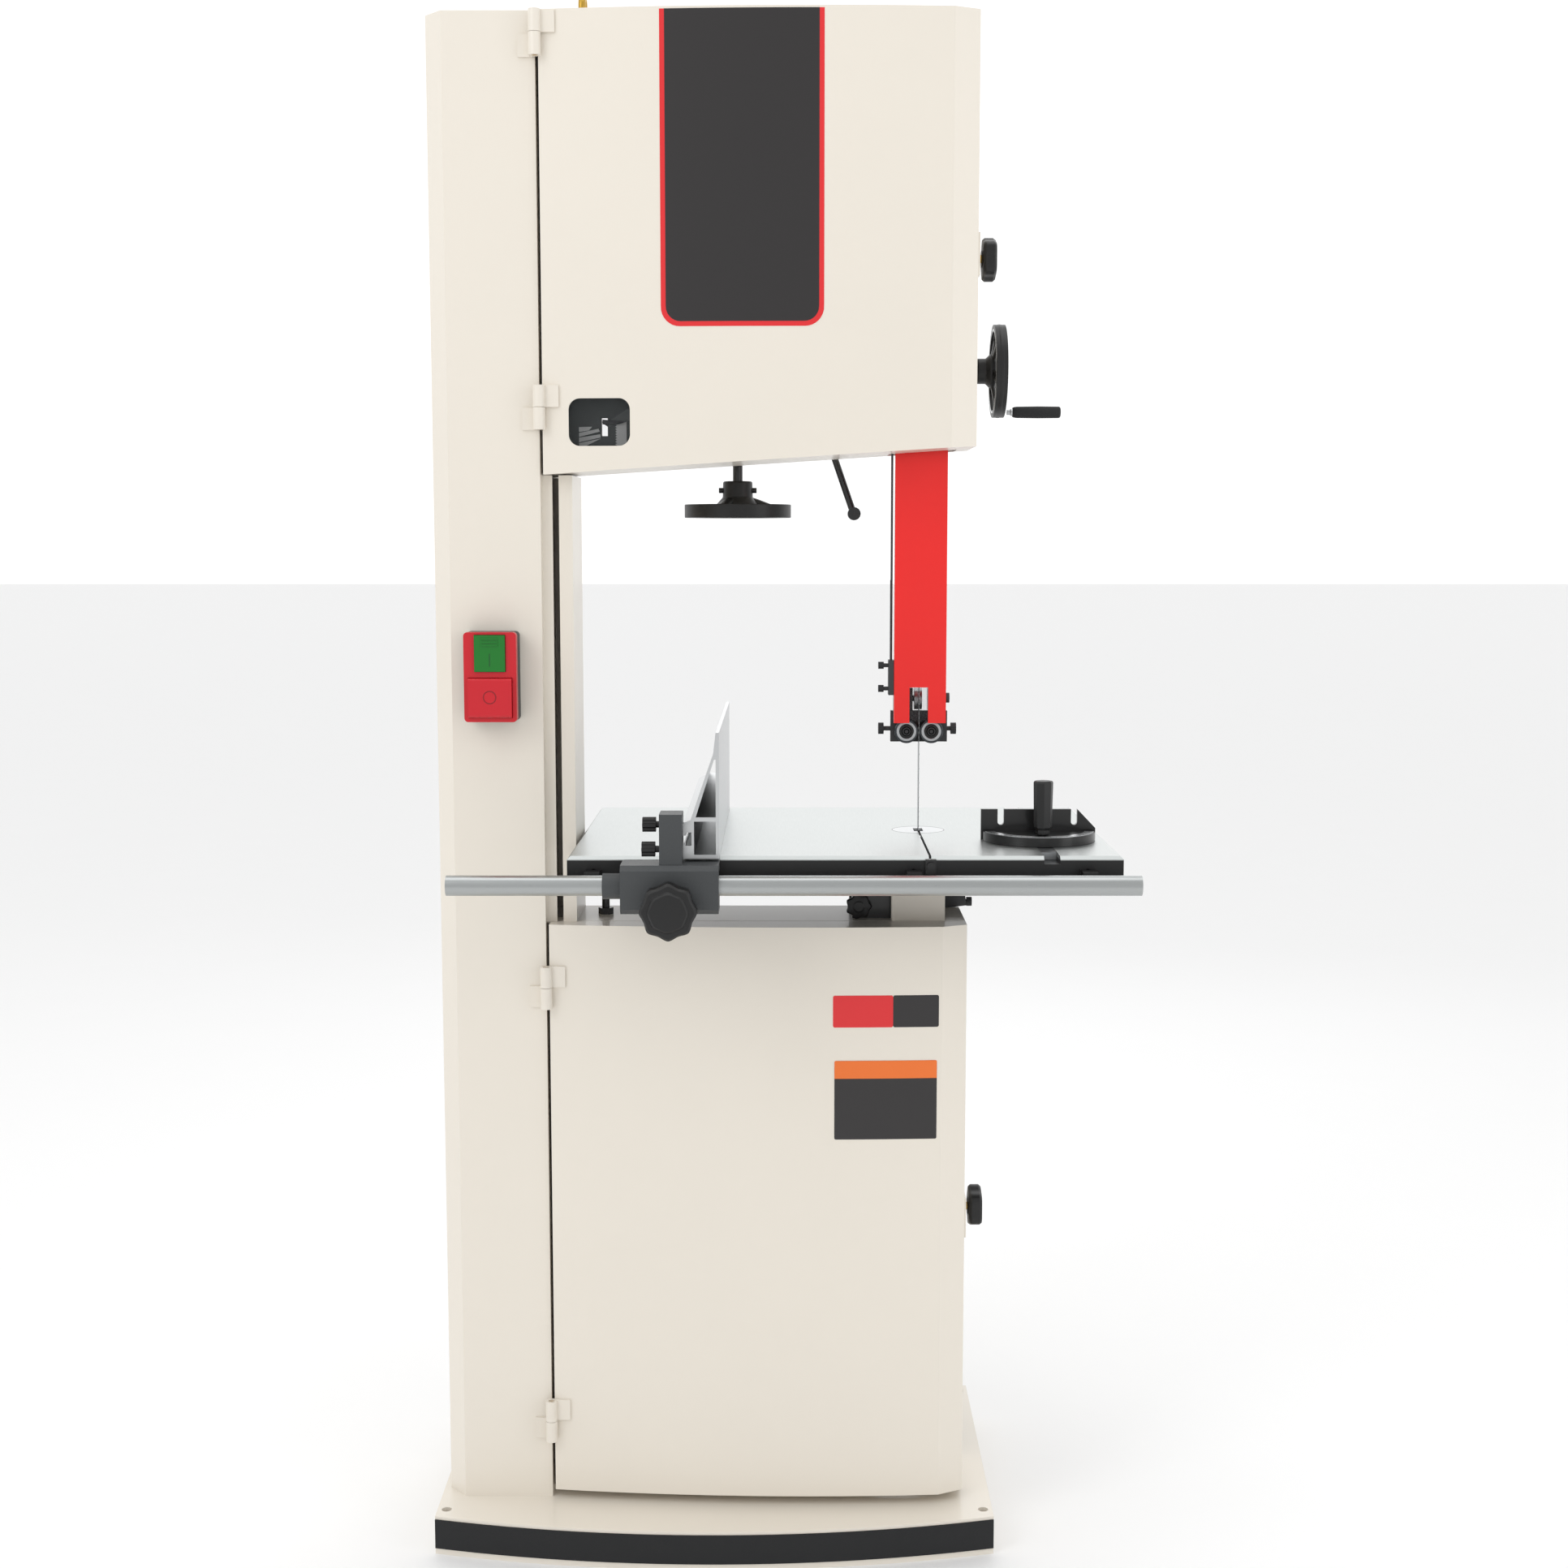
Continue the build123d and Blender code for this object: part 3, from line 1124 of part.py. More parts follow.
def main():
    """Build and write every node."""
    os.makedirs("parts", exist_ok=True)
    upper_door, window_pane = upper_door_parts()
    doors = {"upper": upper_door, "lower": lower_door()}
    frame_halves, door_halves, pins = hinge_parts(doors)
    boss, lever, lever_grip = release_parts()
    spindle, crank_grip = crank_parts()
    studs = [door_stud(HOUSING_X[1], UPPER_KNOB_Z), door_stud(LOWER_RIGHT, LOWER_KNOB_Z)]
    lower_guides = [side_bearing(side, 838, 12, 4) for side in (-1, 1)]
    lower_guides += [thrust_bearing(822, 9, 3), lower_guide_bracket()]
    lower_guides += [lower_guide_spindles(), lower_guide_screws()]
    driven_pulley = pulley(DRIVEN_R, 30, AXLE_R, LOWER_WHEEL_Z, 62, 84)
    upper_bearings = wheel_bearings(UPPER_WHEEL_Z, AXLE_R + RUNNING_FIT)
    nodes = {
        "base_plinth": base_plinth(),
        "base_front_strip": base_front_strip(),
        "column": group([column(), *frame_halves]),
        "blade_channel": group([blade_channel(), lower_blade_cover()]),
        "upper_wheel_housing": upper_wheel_housing(),
        "lower_wheel_housing": lower_wheel_housing(),
        "upper_door": group([upper_door, *door_halves["upper"]]),
        "upper_door_window": window_pane,
        "lower_door": group([doors["lower"], *door_halves["lower"]]),
        "plated_hardware": group([lifting_eye(), *pins, *studs]),
        "upper_door_knob": door_knob(HOUSING_X[1], UPPER_KNOB_Z, 28),
        "lower_door_knob": door_knob(LOWER_RIGHT, LOWER_KNOB_Z, 28),
        "upper_wheel": group([wheel(UPPER_WHEEL_Z), upper_bearings]),
        "upper_tyre": wheel_tyre(UPPER_WHEEL_Z),
        "lower_wheel": group([wheel(LOWER_WHEEL_Z)]),
        "lower_tyre": wheel_tyre(LOWER_WHEEL_Z),
        "lower_shaft": group([lower_shaft(), wheel_bearings(LOWER_WHEEL_Z, AXLE_R), driven_pulley]),
        "lower_bearing_housing": group([lower_bearing_housing(), *frame_bolts().solids()]),
        "motor_pulley": group([pulley(MOTOR_PULLEY_R, 18, 9, MOTOR_Z, 62, 84), motor_shaft()]),
        "drive_belt": drive_belt(),
        "motor_mount": group([motor_mount(), belt_cover()]),
        "motor": motor() + terminal_box(),
        "dust_port": dust_port(),
        "saw_blade": saw_blade(),
        "wheel_carriage": group([wheel_carriage(), tension_pointer(), upper_axle()]),
        "tension_spring": tension_spring(),
        "tension_screw": group([tension_screw(), tension_grub_screws()]),
        "tension_handwheel": tension_handwheel(),
        "tension_frame": group([carriage_rails(), tension_cover(), boss]),
        "tension_scale_plate": tension_scale_plate(),
        "tracking_knob": tracking_knob(),
        "release_lever": group([lever, lever_grip]),
        "guide_post": group([guide_post(), post_rack()]),
        "post_pinion_shaft": post_pinion_shaft(),
        "post_guide": group([post_guide(), post_shaft_bushing()]),
        "post_handwheel": group([post_handwheel(), spindle]),
        "crank_grip": crank_grip,
        "blade_guard": blade_guard(),
        "guide_head": group([guide_head(), guard_stay(), guide_spindles(), guide_screws()]),
        "upper_left_bearing": side_bearing(-1, 1045, 15.5, 5),
        "upper_right_bearing": side_bearing(1, 1045, 15.5, 5),
        "upper_thrust_bearing": thrust_bearing(1086, 14.5, 4),
        "lower_guides": group(lower_guides),
        "table": table(),
        "table_insert": table_insert(),
        "table_trunnions": group([table_trunnions(), table_pin(), rail_brackets()]),
        "trunnion_brackets": group([trunnion_brackets(), table_stop()]),
        "tilt_knob": tilt_knob(),
        "rail": rail(),
        "fence_head": fence_head(),
        "fence_extrusion": fence_extrusion(),
        "fence_lock_knob": fence_lock_knob(),
        "fence_thumb_knobs": group(fence_thumb_knobs()),
        "mitre_bar": mitre_bar(),
        "mitre_head": group([mitre_head(), mitre_scale()]),
        "mitre_handle": mitre_handle(),
        "switch_box": switch_box(),
        "switch_cover": switch_cover(),
        "start_button": start_button(),
        "stop_paddle": stop_paddle(),
    }
    for name, shape in nodes.items():
        save(name, shape)


if __name__ == "__main__":
    main()
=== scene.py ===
"""Floor-standing band saw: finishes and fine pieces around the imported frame. Metres, +Z up."""

import logging
import math
from dataclasses import dataclass, field
from enum import Enum

import bmesh
import bpy
import numpy as np
from mathutils import Euler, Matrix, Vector


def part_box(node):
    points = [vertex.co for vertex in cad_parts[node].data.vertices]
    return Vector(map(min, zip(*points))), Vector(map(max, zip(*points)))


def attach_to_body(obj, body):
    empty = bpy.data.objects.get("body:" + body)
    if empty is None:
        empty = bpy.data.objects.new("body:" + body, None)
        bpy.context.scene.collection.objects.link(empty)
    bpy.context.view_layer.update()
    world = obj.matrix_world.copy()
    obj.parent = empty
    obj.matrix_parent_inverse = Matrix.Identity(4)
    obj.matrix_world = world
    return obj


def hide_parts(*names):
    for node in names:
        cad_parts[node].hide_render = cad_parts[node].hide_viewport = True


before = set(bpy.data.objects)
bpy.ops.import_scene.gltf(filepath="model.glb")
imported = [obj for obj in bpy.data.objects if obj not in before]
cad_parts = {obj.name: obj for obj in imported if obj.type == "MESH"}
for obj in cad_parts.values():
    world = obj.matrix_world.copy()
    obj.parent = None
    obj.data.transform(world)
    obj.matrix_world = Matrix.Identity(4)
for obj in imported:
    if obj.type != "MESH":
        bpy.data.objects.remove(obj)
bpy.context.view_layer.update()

LOG = logging.getLogger("band_saw")
MM = 0.001
BLADE_X = 265.0 * MM
BLADE_Y = -48.0 * MM


def linear(code: str) -> tuple[float, float, float, float]:
    """Turn an sRGB hex colour into linear light.

    Args:
        code: Colour such as "#E6DFD2".

    Returns:
        Linear red, green, blue and an alpha of one.
    """
    parts = [int(code[i:i + 2], 16) / 255 for i in (1, 3, 5)]
    values = [p / 12.92 if p <= 0.04045 else ((p + 0.055) / 1.055) ** 2.4 for p in parts]
    return (*values, 1.0)


# ---------------------------------------------------------------- finishes


class Texture(Enum):
    """How a surface was made, which sets the pattern in its finish."""

    POWDER = "powder"
    MOULDED = "moulded"
    CAST = "cast"
    BRUSHED_X = "brushed_x"
    BRUSHED_Y = "brushed_y"
    BRUSHED_Z = "brushed_z"


STRETCH = {
    Texture.POWDER: (1.0, 1.0, 1.0),
    Texture.MOULDED: (1.0, 1.0, 1.0),
    Texture.CAST: (1.0, 1.0, 1.0),
    Texture.BRUSHED_X: (0.02, 1.0, 1.0),
    Texture.BRUSHED_Y: (1.0, 0.02, 1.0),
    Texture.BRUSHED_Z: (1.0, 1.0, 0.02),
}


def add(material: bpy.types.Material | bpy.types.World, kind: str, settings: dict | None = None,
        links: dict | None = None) -> bpy.types.Node:
    """Add one node with its settings and incoming links.

    Args:
        material: Material or world that gets the node.
        kind: Node class name.
        settings: Property names or socket names with their values.
        links: Input socket names with the output sockets that feed them.

    Returns:
        The new node.
    """
    tree = material.node_tree
    node = tree.nodes.new(kind)
    for key, value in (settings or {}).items():
        if key in node.inputs:
            node.inputs[key].default_value = value
        else:
            setattr(node, key, value)
    for key, socket in (links or {}).items():
        tree.links.new(socket, node.inputs[key])
    return node


@dataclass(frozen=True)
class Finish:
    """One finish: a base colour broken up by a pattern of a real size.

    Attributes:
        name: Maker's name of the finish.
        colour: sRGB hex of the clean surface.
        texture: How the surface was made.
        roughness: Middle of the roughness range.
        metallic: One for bare metal.
        grain_mm: Size of the fine pattern.
        relief_mm: Height of the fine pattern.
        mottle: Share by which the colour darkens in blotches.
        coat: Clear coat weight.
    """

    name: str
    colour: str
    texture: Texture
    roughness: float
    metallic: float = 0.0
    grain_mm: float = 1.5
    relief_mm: float = 0.02
    mottle: float = 0.06
    coat: float = 0.0

    def start(self) -> tuple[bpy.types.Material, bpy.types.Node]:
        """Make an empty material with its shader.

        Returns:
            The material and its Principled shader.
        """
        material = bpy.data.materials.new(self.name)
        material.use_nodes = True
        material.diffuse_color = linear(self.colour)
        shader = next(n for n in material.node_tree.nodes if n.type == "BSDF_PRINCIPLED")
        shader.inputs["Metallic"].default_value = self.metallic
        shader.inputs["Coat Weight"].default_value = self.coat
        shader.inputs["Coat Roughness"].default_value = 0.08
        return material, shader

    def pattern(self, material: bpy.types.Material, shader: bpy.types.Node,
                colour: bpy.types.NodeSocket | None = None) -> None:
        """Wire colour, roughness and relief from two noises in object space.

        Args:
            material: Material to wire.
            shader: Its Principled shader.
            colour: Colour socket to break up, or none for the finish's own.
        """
        place = add(material, "ShaderNodeTexCoord")
        spread = add(material, "ShaderNodeMapping", {"Scale": STRETCH[self.texture]},
                     {"Vector": place.outputs["Object"]})
        fine = add(material, "ShaderNodeTexNoise", {"Scale": 1.0 / (self.grain_mm * MM), "Detail": 3.0},
                   {"Vector": spread.outputs["Vector"]})
        broad = add(material, "ShaderNodeTexNoise", {"Scale": 5.0, "Detail": 4.0, "Roughness": 0.6},
                    {"Vector": place.outputs["Object"]})
        clean = linear(self.colour)
        dark = tuple(c * (1 - self.mottle) for c in clean[:3]) + (1.0,)
        blend = add(material, "ShaderNodeMix", {"data_type": "RGBA"})
        tree = material.node_tree
        tree.links.new(broad.outputs["Fac"], blend.inputs["Factor"])
        if colour is None:
            blend.inputs["A"].default_value = (0, 0, 0, 1)
            blend.inputs[6].default_value = clean
            blend.inputs[7].default_value = dark
        else:
            blend.inputs[7].default_value = dark
            shade = add(material, "ShaderNodeMix", {"data_type": "RGBA", "blend_type": "MULTIPLY"})
            shade.inputs[0].default_value = 1.0
            tree.links.new(colour, shade.inputs[6])
            shade.inputs[7].default_value = (1 - self.mottle / 2,) * 3 + (1.0,)
            tree.links.new(colour, blend.inputs[6])
            tree.links.new(shade.outputs[2], blend.inputs[7])
        tree.links.new(blend.outputs[2], shader.inputs["Base Color"])
        rough = add(material, "ShaderNodeMapRange", {
            "To Min": max(self.roughness - 0.07, 0.02), "To Max": self.roughness + 0.07,
        }, {"Value": fine.outputs["Fac"]})
        tree.links.new(rough.outputs["Result"], shader.inputs["Roughness"])
        bump = add(material, "ShaderNodeBump", {"Strength": 0.6, "Distance": self.relief_mm * MM},
                   {"Height": fine.outputs["Fac"]})
        tree.links.new(bump.outputs["Normal"], shader.inputs["Normal"])

    def build(self) -> bpy.types.Material:
        """Make the whole material.

        Returns:
            The finished material.
        """
        material, shader = self.start()
        self.pattern(material, shader)
        return material


@dataclass(frozen=True)
class GroundTable(Finish):
    """Ground iron face over black painted sides, split by height.

    Attributes:
        face_z: Height above which the iron is bare.
        side_colour: Paint of the sides and of the underside.
    """

    face_z: float = 0.91
    side_colour: str = "#0B0B0C"

    def build(self) -> bpy.types.Material:
        """Make the two-part material.

        Returns:
            The finished material.
        """
        material, shader = self.start()
        place = add(material, "ShaderNodeTexCoord")
        split = add(material, "ShaderNodeSeparateXYZ", None, {"Vector": place.outputs["Object"]})
        above = add(material, "ShaderNodeMath", {"operation": "GREATER_THAN"}, {0: split.outputs["Z"]})
        above.inputs[1].default_value = self.face_z
        colour = add(material, "ShaderNodeMix", {"data_type": "RGBA"})
        tree = material.node_tree
        tree.links.new(above.outputs[0], colour.inputs[0])
        colour.inputs[6].default_value = linear(self.side_colour)
        colour.inputs[7].default_value = linear(self.colour)
        self.pattern(material, shader, colour.outputs[2])
        tree.links.new(above.outputs[0], shader.inputs["Metallic"])
        return material


@dataclass(frozen=True)
class ClearPane(Finish):
    """Tinted clear sheet."""

    def build(self) -> bpy.types.Material:
        """Make a see-through material.

        Returns:
            The finished material.
        """
        material, shader = self.start()
        self.pattern(material, shader)
        shader.inputs["Alpha"].default_value = 0.12
        material.surface_render_method = "BLENDED"
        return material


# Powder coat: a fine orange peel breaks up its soft gloss.
CREAM = Finish("cream powder coat", "#E9E2D6", Texture.POWDER, 0.36, grain_mm=2.2, relief_mm=0.03, mottle=0.035,
               coat=0.25)
# Gloss enamel on sheet steel: bright and even.
GUARD_RED = Finish("red gloss enamel", "#F5120C", Texture.POWDER, 0.34, grain_mm=3.0, relief_mm=0.03, mottle=0.08,
                   coat=0.15)
BLACK_ENAMEL = Finish("black gloss enamel", "#050506", Texture.POWDER, 0.32, grain_mm=2.0, relief_mm=0.03,
                      coat=0.3)
MOTOR_ENAMEL = Finish("grey motor enamel", "#2A2B2D", Texture.CAST, 0.45, grain_mm=3.0, relief_mm=0.08)
# Hammered enamel on a casting: pebbled, with broad sparkle.
DARK_CASTING = Finish("textured charcoal casting", "#3A3B3D", Texture.CAST, 0.55, grain_mm=1.6, relief_mm=0.25,
                      mottle=0.25)
WHEEL_CASTING = Finish("painted wheel casting", "#55585A", Texture.CAST, 0.5, grain_mm=2.5, relief_mm=0.12)
# Glass-filled nylon and phenolic mouldings: soft sheen with a fine spark texture.
FENCE_CASTING = Finish("textured grey fence casting", "#45484A", Texture.CAST, 0.5, grain_mm=1.4, relief_mm=0.3,
                       mottle=0.35)
BLACK_PLASTIC = Finish("black moulded nylon", "#0B0B0C", Texture.MOULDED, 0.42, grain_mm=0.9, relief_mm=0.05,
                       mottle=0.15)
SWITCH_GREY = Finish("grey moulded switch body", "#24262A", Texture.MOULDED, 0.5, grain_mm=0.8, relief_mm=0.04)
SWITCH_RED = Finish("red moulded switch cover", "#CC0F22", Texture.MOULDED, 0.33, grain_mm=0.8, relief_mm=0.03,
                    mottle=0.08)
SWITCH_GREEN = Finish("green moulded button", "#00751A", Texture.MOULDED, 0.34, grain_mm=0.8, relief_mm=0.03,
                      mottle=0.08)
# Darker tones of the green button and the red paddle: painted shade standing in for the engraved grooves of the
# switch marks.
GREEN_GROOVE_SHADE = Finish("painted groove shade green", "#06551D", Texture.MOULDED, 0.5, grain_mm=0.8)
RED_GROOVE_SHADE = Finish("painted groove shade red", "#8E0A17", Texture.MOULDED, 0.5, grain_mm=0.8)
RUBBER = Finish("black ribbed rubber", "#17181A", Texture.MOULDED, 0.72, grain_mm=1.2, relief_mm=0.08)
# Turned and ground steels: tight lines along the cut stretch the highlights.
STEEL = Finish("turned steel", "#B9BBBD", Texture.BRUSHED_Z, 0.34, metallic=1.0, grain_mm=0.6, mottle=0.12)
DARK_STEEL = Finish("blackened race steel", "#4A4D50", Texture.BRUSHED_Y, 0.3, metallic=1.0, grain_mm=0.5,
                    mottle=0.1)
BLADE_STEEL = Finish("ground blade steel", "#A9ABAD", Texture.BRUSHED_Z, 0.3, metallic=1.0, grain_mm=0.5,
                     mottle=0.1)
BAR_STEEL = Finish("ground bar steel", "#9DA0A2", Texture.BRUSHED_Y, 0.32, metallic=1.0, grain_mm=0.6,
                   mottle=0.1)
RAIL_METAL = Finish("bright drawn aluminium tube", "#AEB1B1", Texture.BRUSHED_X, 0.3, metallic=1.0,
                    grain_mm=0.7, mottle=0.05)
FENCE_METAL = Finish("clear anodised extrusion", "#CFD1D2", Texture.BRUSHED_Y, 0.34, metallic=1.0, grain_mm=0.9,
                     mottle=0.06)
INSERT_METAL = Finish("machined aluminium plate", "#C6C8C9", Texture.BRUSHED_Y, 0.36, metallic=1.0,
                      grain_mm=0.8)
ZINC = Finish("yellow zinc plate", "#C8A24A", Texture.CAST, 0.35, metallic=1.0, grain_mm=2.0, mottle=0.2)
SILVER_SCALE = Finish("silver scale strip", "#C9CBCC", Texture.BRUSHED_X, 0.3, metallic=1.0, grain_mm=0.6)
SCALE_DARK = Finish("printed scale plate", "#4B5150", Texture.MOULDED, 0.5, grain_mm=1.0, relief_mm=0.01)
PRINT_LIGHT = Finish("light grey print", "#E4E6E6", Texture.MOULDED, 0.5, grain_mm=1.0, relief_mm=0.01)
PRINT_MID = Finish("mid grey print", "#6A6F6E", Texture.MOULDED, 0.5, grain_mm=1.0, relief_mm=0.01)
PRINT_RED = Finish("red decal film", "#E11B22", Texture.MOULDED, 0.34, grain_mm=1.5, relief_mm=0.01,
                   mottle=0.05, coat=0.3)
PRINT_CHARCOAL = Finish("charcoal decal film", "#1A1617", Texture.MOULDED, 0.36, grain_mm=1.5, relief_mm=0.01,
                        mottle=0.05, coat=0.3)
PRINT_ORANGE = Finish("orange decal film", "#F0731C", Texture.MOULDED, 0.36, grain_mm=1.5, relief_mm=0.01,
                      coat=0.3)
PANE = ClearPane("smoked polycarbonate", "#3B3D40", Texture.MOULDED, 0.08, grain_mm=4.0, relief_mm=0.005)
TABLE_IRON = GroundTable("ground table iron", "#B4B8B7", Texture.BRUSHED_Y, 0.34, grain_mm=0.7, relief_mm=0.01,
                         mottle=0.08)
FLOOR = Finish("pale studio floor", "#F4F4F4", Texture.POWDER, 0.6, grain_mm=20.0, relief_mm=0.01, mottle=0.01)

NODE_FINISHES = {
    CREAM: ("base_plinth", "column", "blade_channel", "upper_wheel_housing", "lower_wheel_housing",
            "motor_mount", "tension_frame", "upper_door", "lower_door"),
    GUARD_RED: ("blade_guard",),
    BLACK_ENAMEL: ("table_trunnions", "trunnion_brackets", "mitre_head", "release_lever", "tension_screw"),
    MOTOR_ENAMEL: ("motor",),
    DARK_CASTING: ("lower_bearing_housing", "post_guide", "wheel_carriage", "lower_guides", "guide_head"),
    FENCE_CASTING: ("fence_head",),
    WHEEL_CASTING: ("upper_wheel", "lower_wheel"),
    BLACK_PLASTIC: ("dust_port", "tracking_knob", "tilt_knob", "fence_thumb_knobs", "post_handwheel",
                    "crank_grip", "tension_handwheel", "upper_door_knob", "lower_door_knob", "mitre_handle",
                    "fence_lock_knob"),
    SWITCH_GREY: ("switch_box",),
    SWITCH_RED: ("switch_cover", "stop_paddle"),
    SWITCH_GREEN: ("start_button",),
    RUBBER: ("base_front_strip", "drive_belt", "upper_tyre", "lower_tyre"),
    STEEL: ("lower_shaft", "motor_pulley", "tension_spring", "guide_post",
            "post_pinion_shaft", "upper_left_bearing", "upper_right_bearing", "upper_thrust_bearing"),
    BLADE_STEEL: ("saw_blade",),
    BAR_STEEL: ("mitre_bar",),
    RAIL_METAL: ("rail",),
    FENCE_METAL: ("fence_extrusion",),
    INSERT_METAL: ("table_insert",),
    ZINC: ("plated_hardware",),
    SCALE_DARK: ("tension_scale_plate",),
    PANE: ("upper_door_window",),
    TABLE_IRON: ("table",),
}


class Paints:
    """Cache of built materials, so that each finish is one material."""

    def __init__(self) -> None:
        """Start with nothing built."""
        self.built: dict[str, bpy.types.Material] = {}

    def get(self, finish: Finish) -> bpy.types.Material:
        """Build a finish once.

        Args:
            finish: The finish wanted.

        Returns:
            Its material.
        """
        if finish.name not in self.built:
            self.built[finish.name] = finish.build()
        return self.built[finish.name]


# ---------------------------------------------------------------- surfaces


@dataclass
class Skin:
    """Vertices and faces of one piece, gathered from several surfaces."""

    points: list[np.ndarray] = field(default_factory=list)
    faces: list[np.ndarray] = field(default_factory=list)
    count: int = 0

    def grid(self, points: np.ndarray, wrap_u: bool, wrap_v: bool) -> None:
        """Add a grid of quads.

        Neighbouring rows and columns are joined; a wrapped direction joins its last line to its first.

        Args:
            points: Array of rows by columns by three.
            wrap_u: Whether the rows close on themselves.
            wrap_v: Whether the columns close on themselves.
        """
        rows, columns = points.shape[:2]
        u = np.arange(rows if wrap_u else rows - 1)[:, None]
        v = np.arange(columns if wrap_v else columns - 1)[None, :]
        after_u = (u + 1) % rows
        after_v = (v + 1) % columns
        corners = [u * columns + v, after_u * columns + v, after_u * columns + after_v, u * columns + after_v]
        quads = np.stack(np.broadcast_arrays(*corners), axis=-1).reshape(-1, 4)
        self.points.append(points.reshape(-1, 3))
        self.faces.append(quads + self.count)
        self.count += rows * columns

    def piece(self, name: str, material: bpy.types.Material, smooth_degrees: float = 35.0) -> bpy.types.Object:
        """Turn the gathered surfaces into an object at the origin.

        Args:
            name: Name of the piece.
            material: Its material.
            smooth_degrees: Edges flatter than this are shaded smooth.

        Returns:
            The new object.
        """
        mesh = bpy.data.meshes.new(name)
        mesh.from_pydata(np.concatenate(self.points).tolist(), [], np.concatenate(self.faces).tolist())
        work = bmesh.new()
        work.from_mesh(mesh)
        bmesh.ops.remove_doubles(work, verts=work.verts, dist=2e-6)
        bmesh.ops.dissolve_degenerate(work, edges=work.edges, dist=1e-6)
        bmesh.ops.recalc_face_normals(work, faces=work.faces)
        work.to_mesh(mesh)
        work.free()
        mesh.polygons.foreach_set("use_smooth", np.ones(len(mesh.polygons), dtype=bool))
        mesh.set_sharp_from_angle(angle=math.radians(smooth_degrees))
        mesh.materials.append(material)
        piece = bpy.data.objects.new(name, mesh)
        bpy.context.scene.collection.objects.link(piece)
        return piece


def axes_for(along: tuple[float, float, float]) -> np.ndarray:
    """Three unit vectors: two across a direction, then the direction.

    Args:
        along: Direction of the turned axis.

    Returns:
        Rows of a 3 by 3 array.
    """
    way = np.array(along, dtype=float)
    way /= np.linalg.norm(way)
    guide = np.array([0.0, 0.0, 1.0]) if abs(way[2]) < 0.9 else np.array([1.0, 0.0, 0.0])
    side = np.cross(guide, way)
    side /= np.linalg.norm(side)
    return np.stack([side, np.cross(way, side), way])


def rounded(profile: list[tuple[float, float]], radius: float, steps: int = 4) -> np.ndarray:
    """Round the inner corners of an open profile with quadratic curves.

    Each corner is replaced by points of a parabola whose ends lie a radius before and after it.

    Args:
        profile: Points as radius and height.
        radius: How far from a corner the rounding starts.
        steps: Points for each corner.

    Returns:
        Array of points by two.
    """
    points = np.array(profile, dtype=float)
    before, corner, after = points[:-2], points[1:-1], points[2:]
    back = before - corner
    ahead = after - corner
    back_length = np.linalg.norm(back, axis=1, keepdims=True)
    ahead_length = np.linalg.norm(ahead, axis=1, keepdims=True)
    start = corner + back / back_length * np.minimum(radius, back_length * 0.45)
    end = corner + ahead / ahead_length * np.minimum(radius, ahead_length * 0.45)
    t = np.linspace(0, 1, steps)[None, :, None]
    arcs = (1 - t) ** 2 * start[:, None] + 2 * t * (1 - t) * corner[:, None] + t ** 2 * end[:, None]
    return np.concatenate([points[:1], arcs.reshape(-1, 2), points[-1:]])


def turned(profile: np.ndarray, centre: tuple, along: tuple, segments: int = 64, lobes: int = 0,
           depth: float = 0.0, flats: int = 0) -> np.ndarray:
    """Turn a profile about an axis, with hollows round its rim if asked.

    A point at angle t stands off the axis by its radius, less the depth times the lobes' cosine hollow,
    or times the secant of the angle left to the nearest flat for a many-sided bar.

    Args:
        profile: Points as radius and height; the ends lie on the axis.
        centre: Point of the axis at height zero.
        along: Direction of the axis.
        segments: Steps round the axis.
        lobes: Number of hollows.
        depth: Depth of the hollows at full radius.
        flats: Number of flat sides, or none.

    Returns:
        Grid of points, profile by angle.
    """
    side, up, way = axes_for(along)
    angle = np.linspace(0, 2 * np.pi, segments, endpoint=False)[None, :]
    radius = profile[:, 0][:, None] * np.ones_like(angle)
    if lobes:
        hollow = (0.5 - 0.5 * np.cos(lobes * angle)) ** 0.8
        share = (radius / radius.max()) ** 3
        radius = radius - depth * hollow * share
    if flats:
        half = np.pi / flats
        radius = radius * np.cos(half) / np.cos((angle % (2 * half)) - half)
    height = profile[:, 1][:, None] * np.ones_like(angle)
    terms = (radius * np.cos(angle))[..., None] * side + (radius * np.sin(angle))[..., None] * up
    return np.array(centre) + terms + height[..., None] * way


def swept(path: np.ndarray, width: np.ndarray, thickness: np.ndarray, across: tuple,
          segments: int = 16) -> np.ndarray:
    """Carry an oval section along a path, closed to a point at both ends.

    The section's width lies along one fixed direction and its thickness across both it and the path.

    Args:
        path: Points of the path by three.
        width: Half width at each point.
        thickness: Half thickness at each point.
        across: Fixed direction of the width.
        segments: Steps round the section.

    Returns:
        Grid of points, path by section.
    """
    run = np.gradient(path, axis=0)
    run /= np.linalg.norm(run, axis=1, keepdims=True)
    wide = np.array(across, dtype=float)
    thick = np.cross(run, wide)
    thick /= np.linalg.norm(thick, axis=1, keepdims=True)
    angle = np.linspace(0, 2 * np.pi, segments, endpoint=False)[None, :, None]
    ring = np.cos(angle) * (width[:, None, None] * wide) + np.sin(angle) * (thickness[:, None, None] * thick[:, None])
    return path[:, None, :] + ring


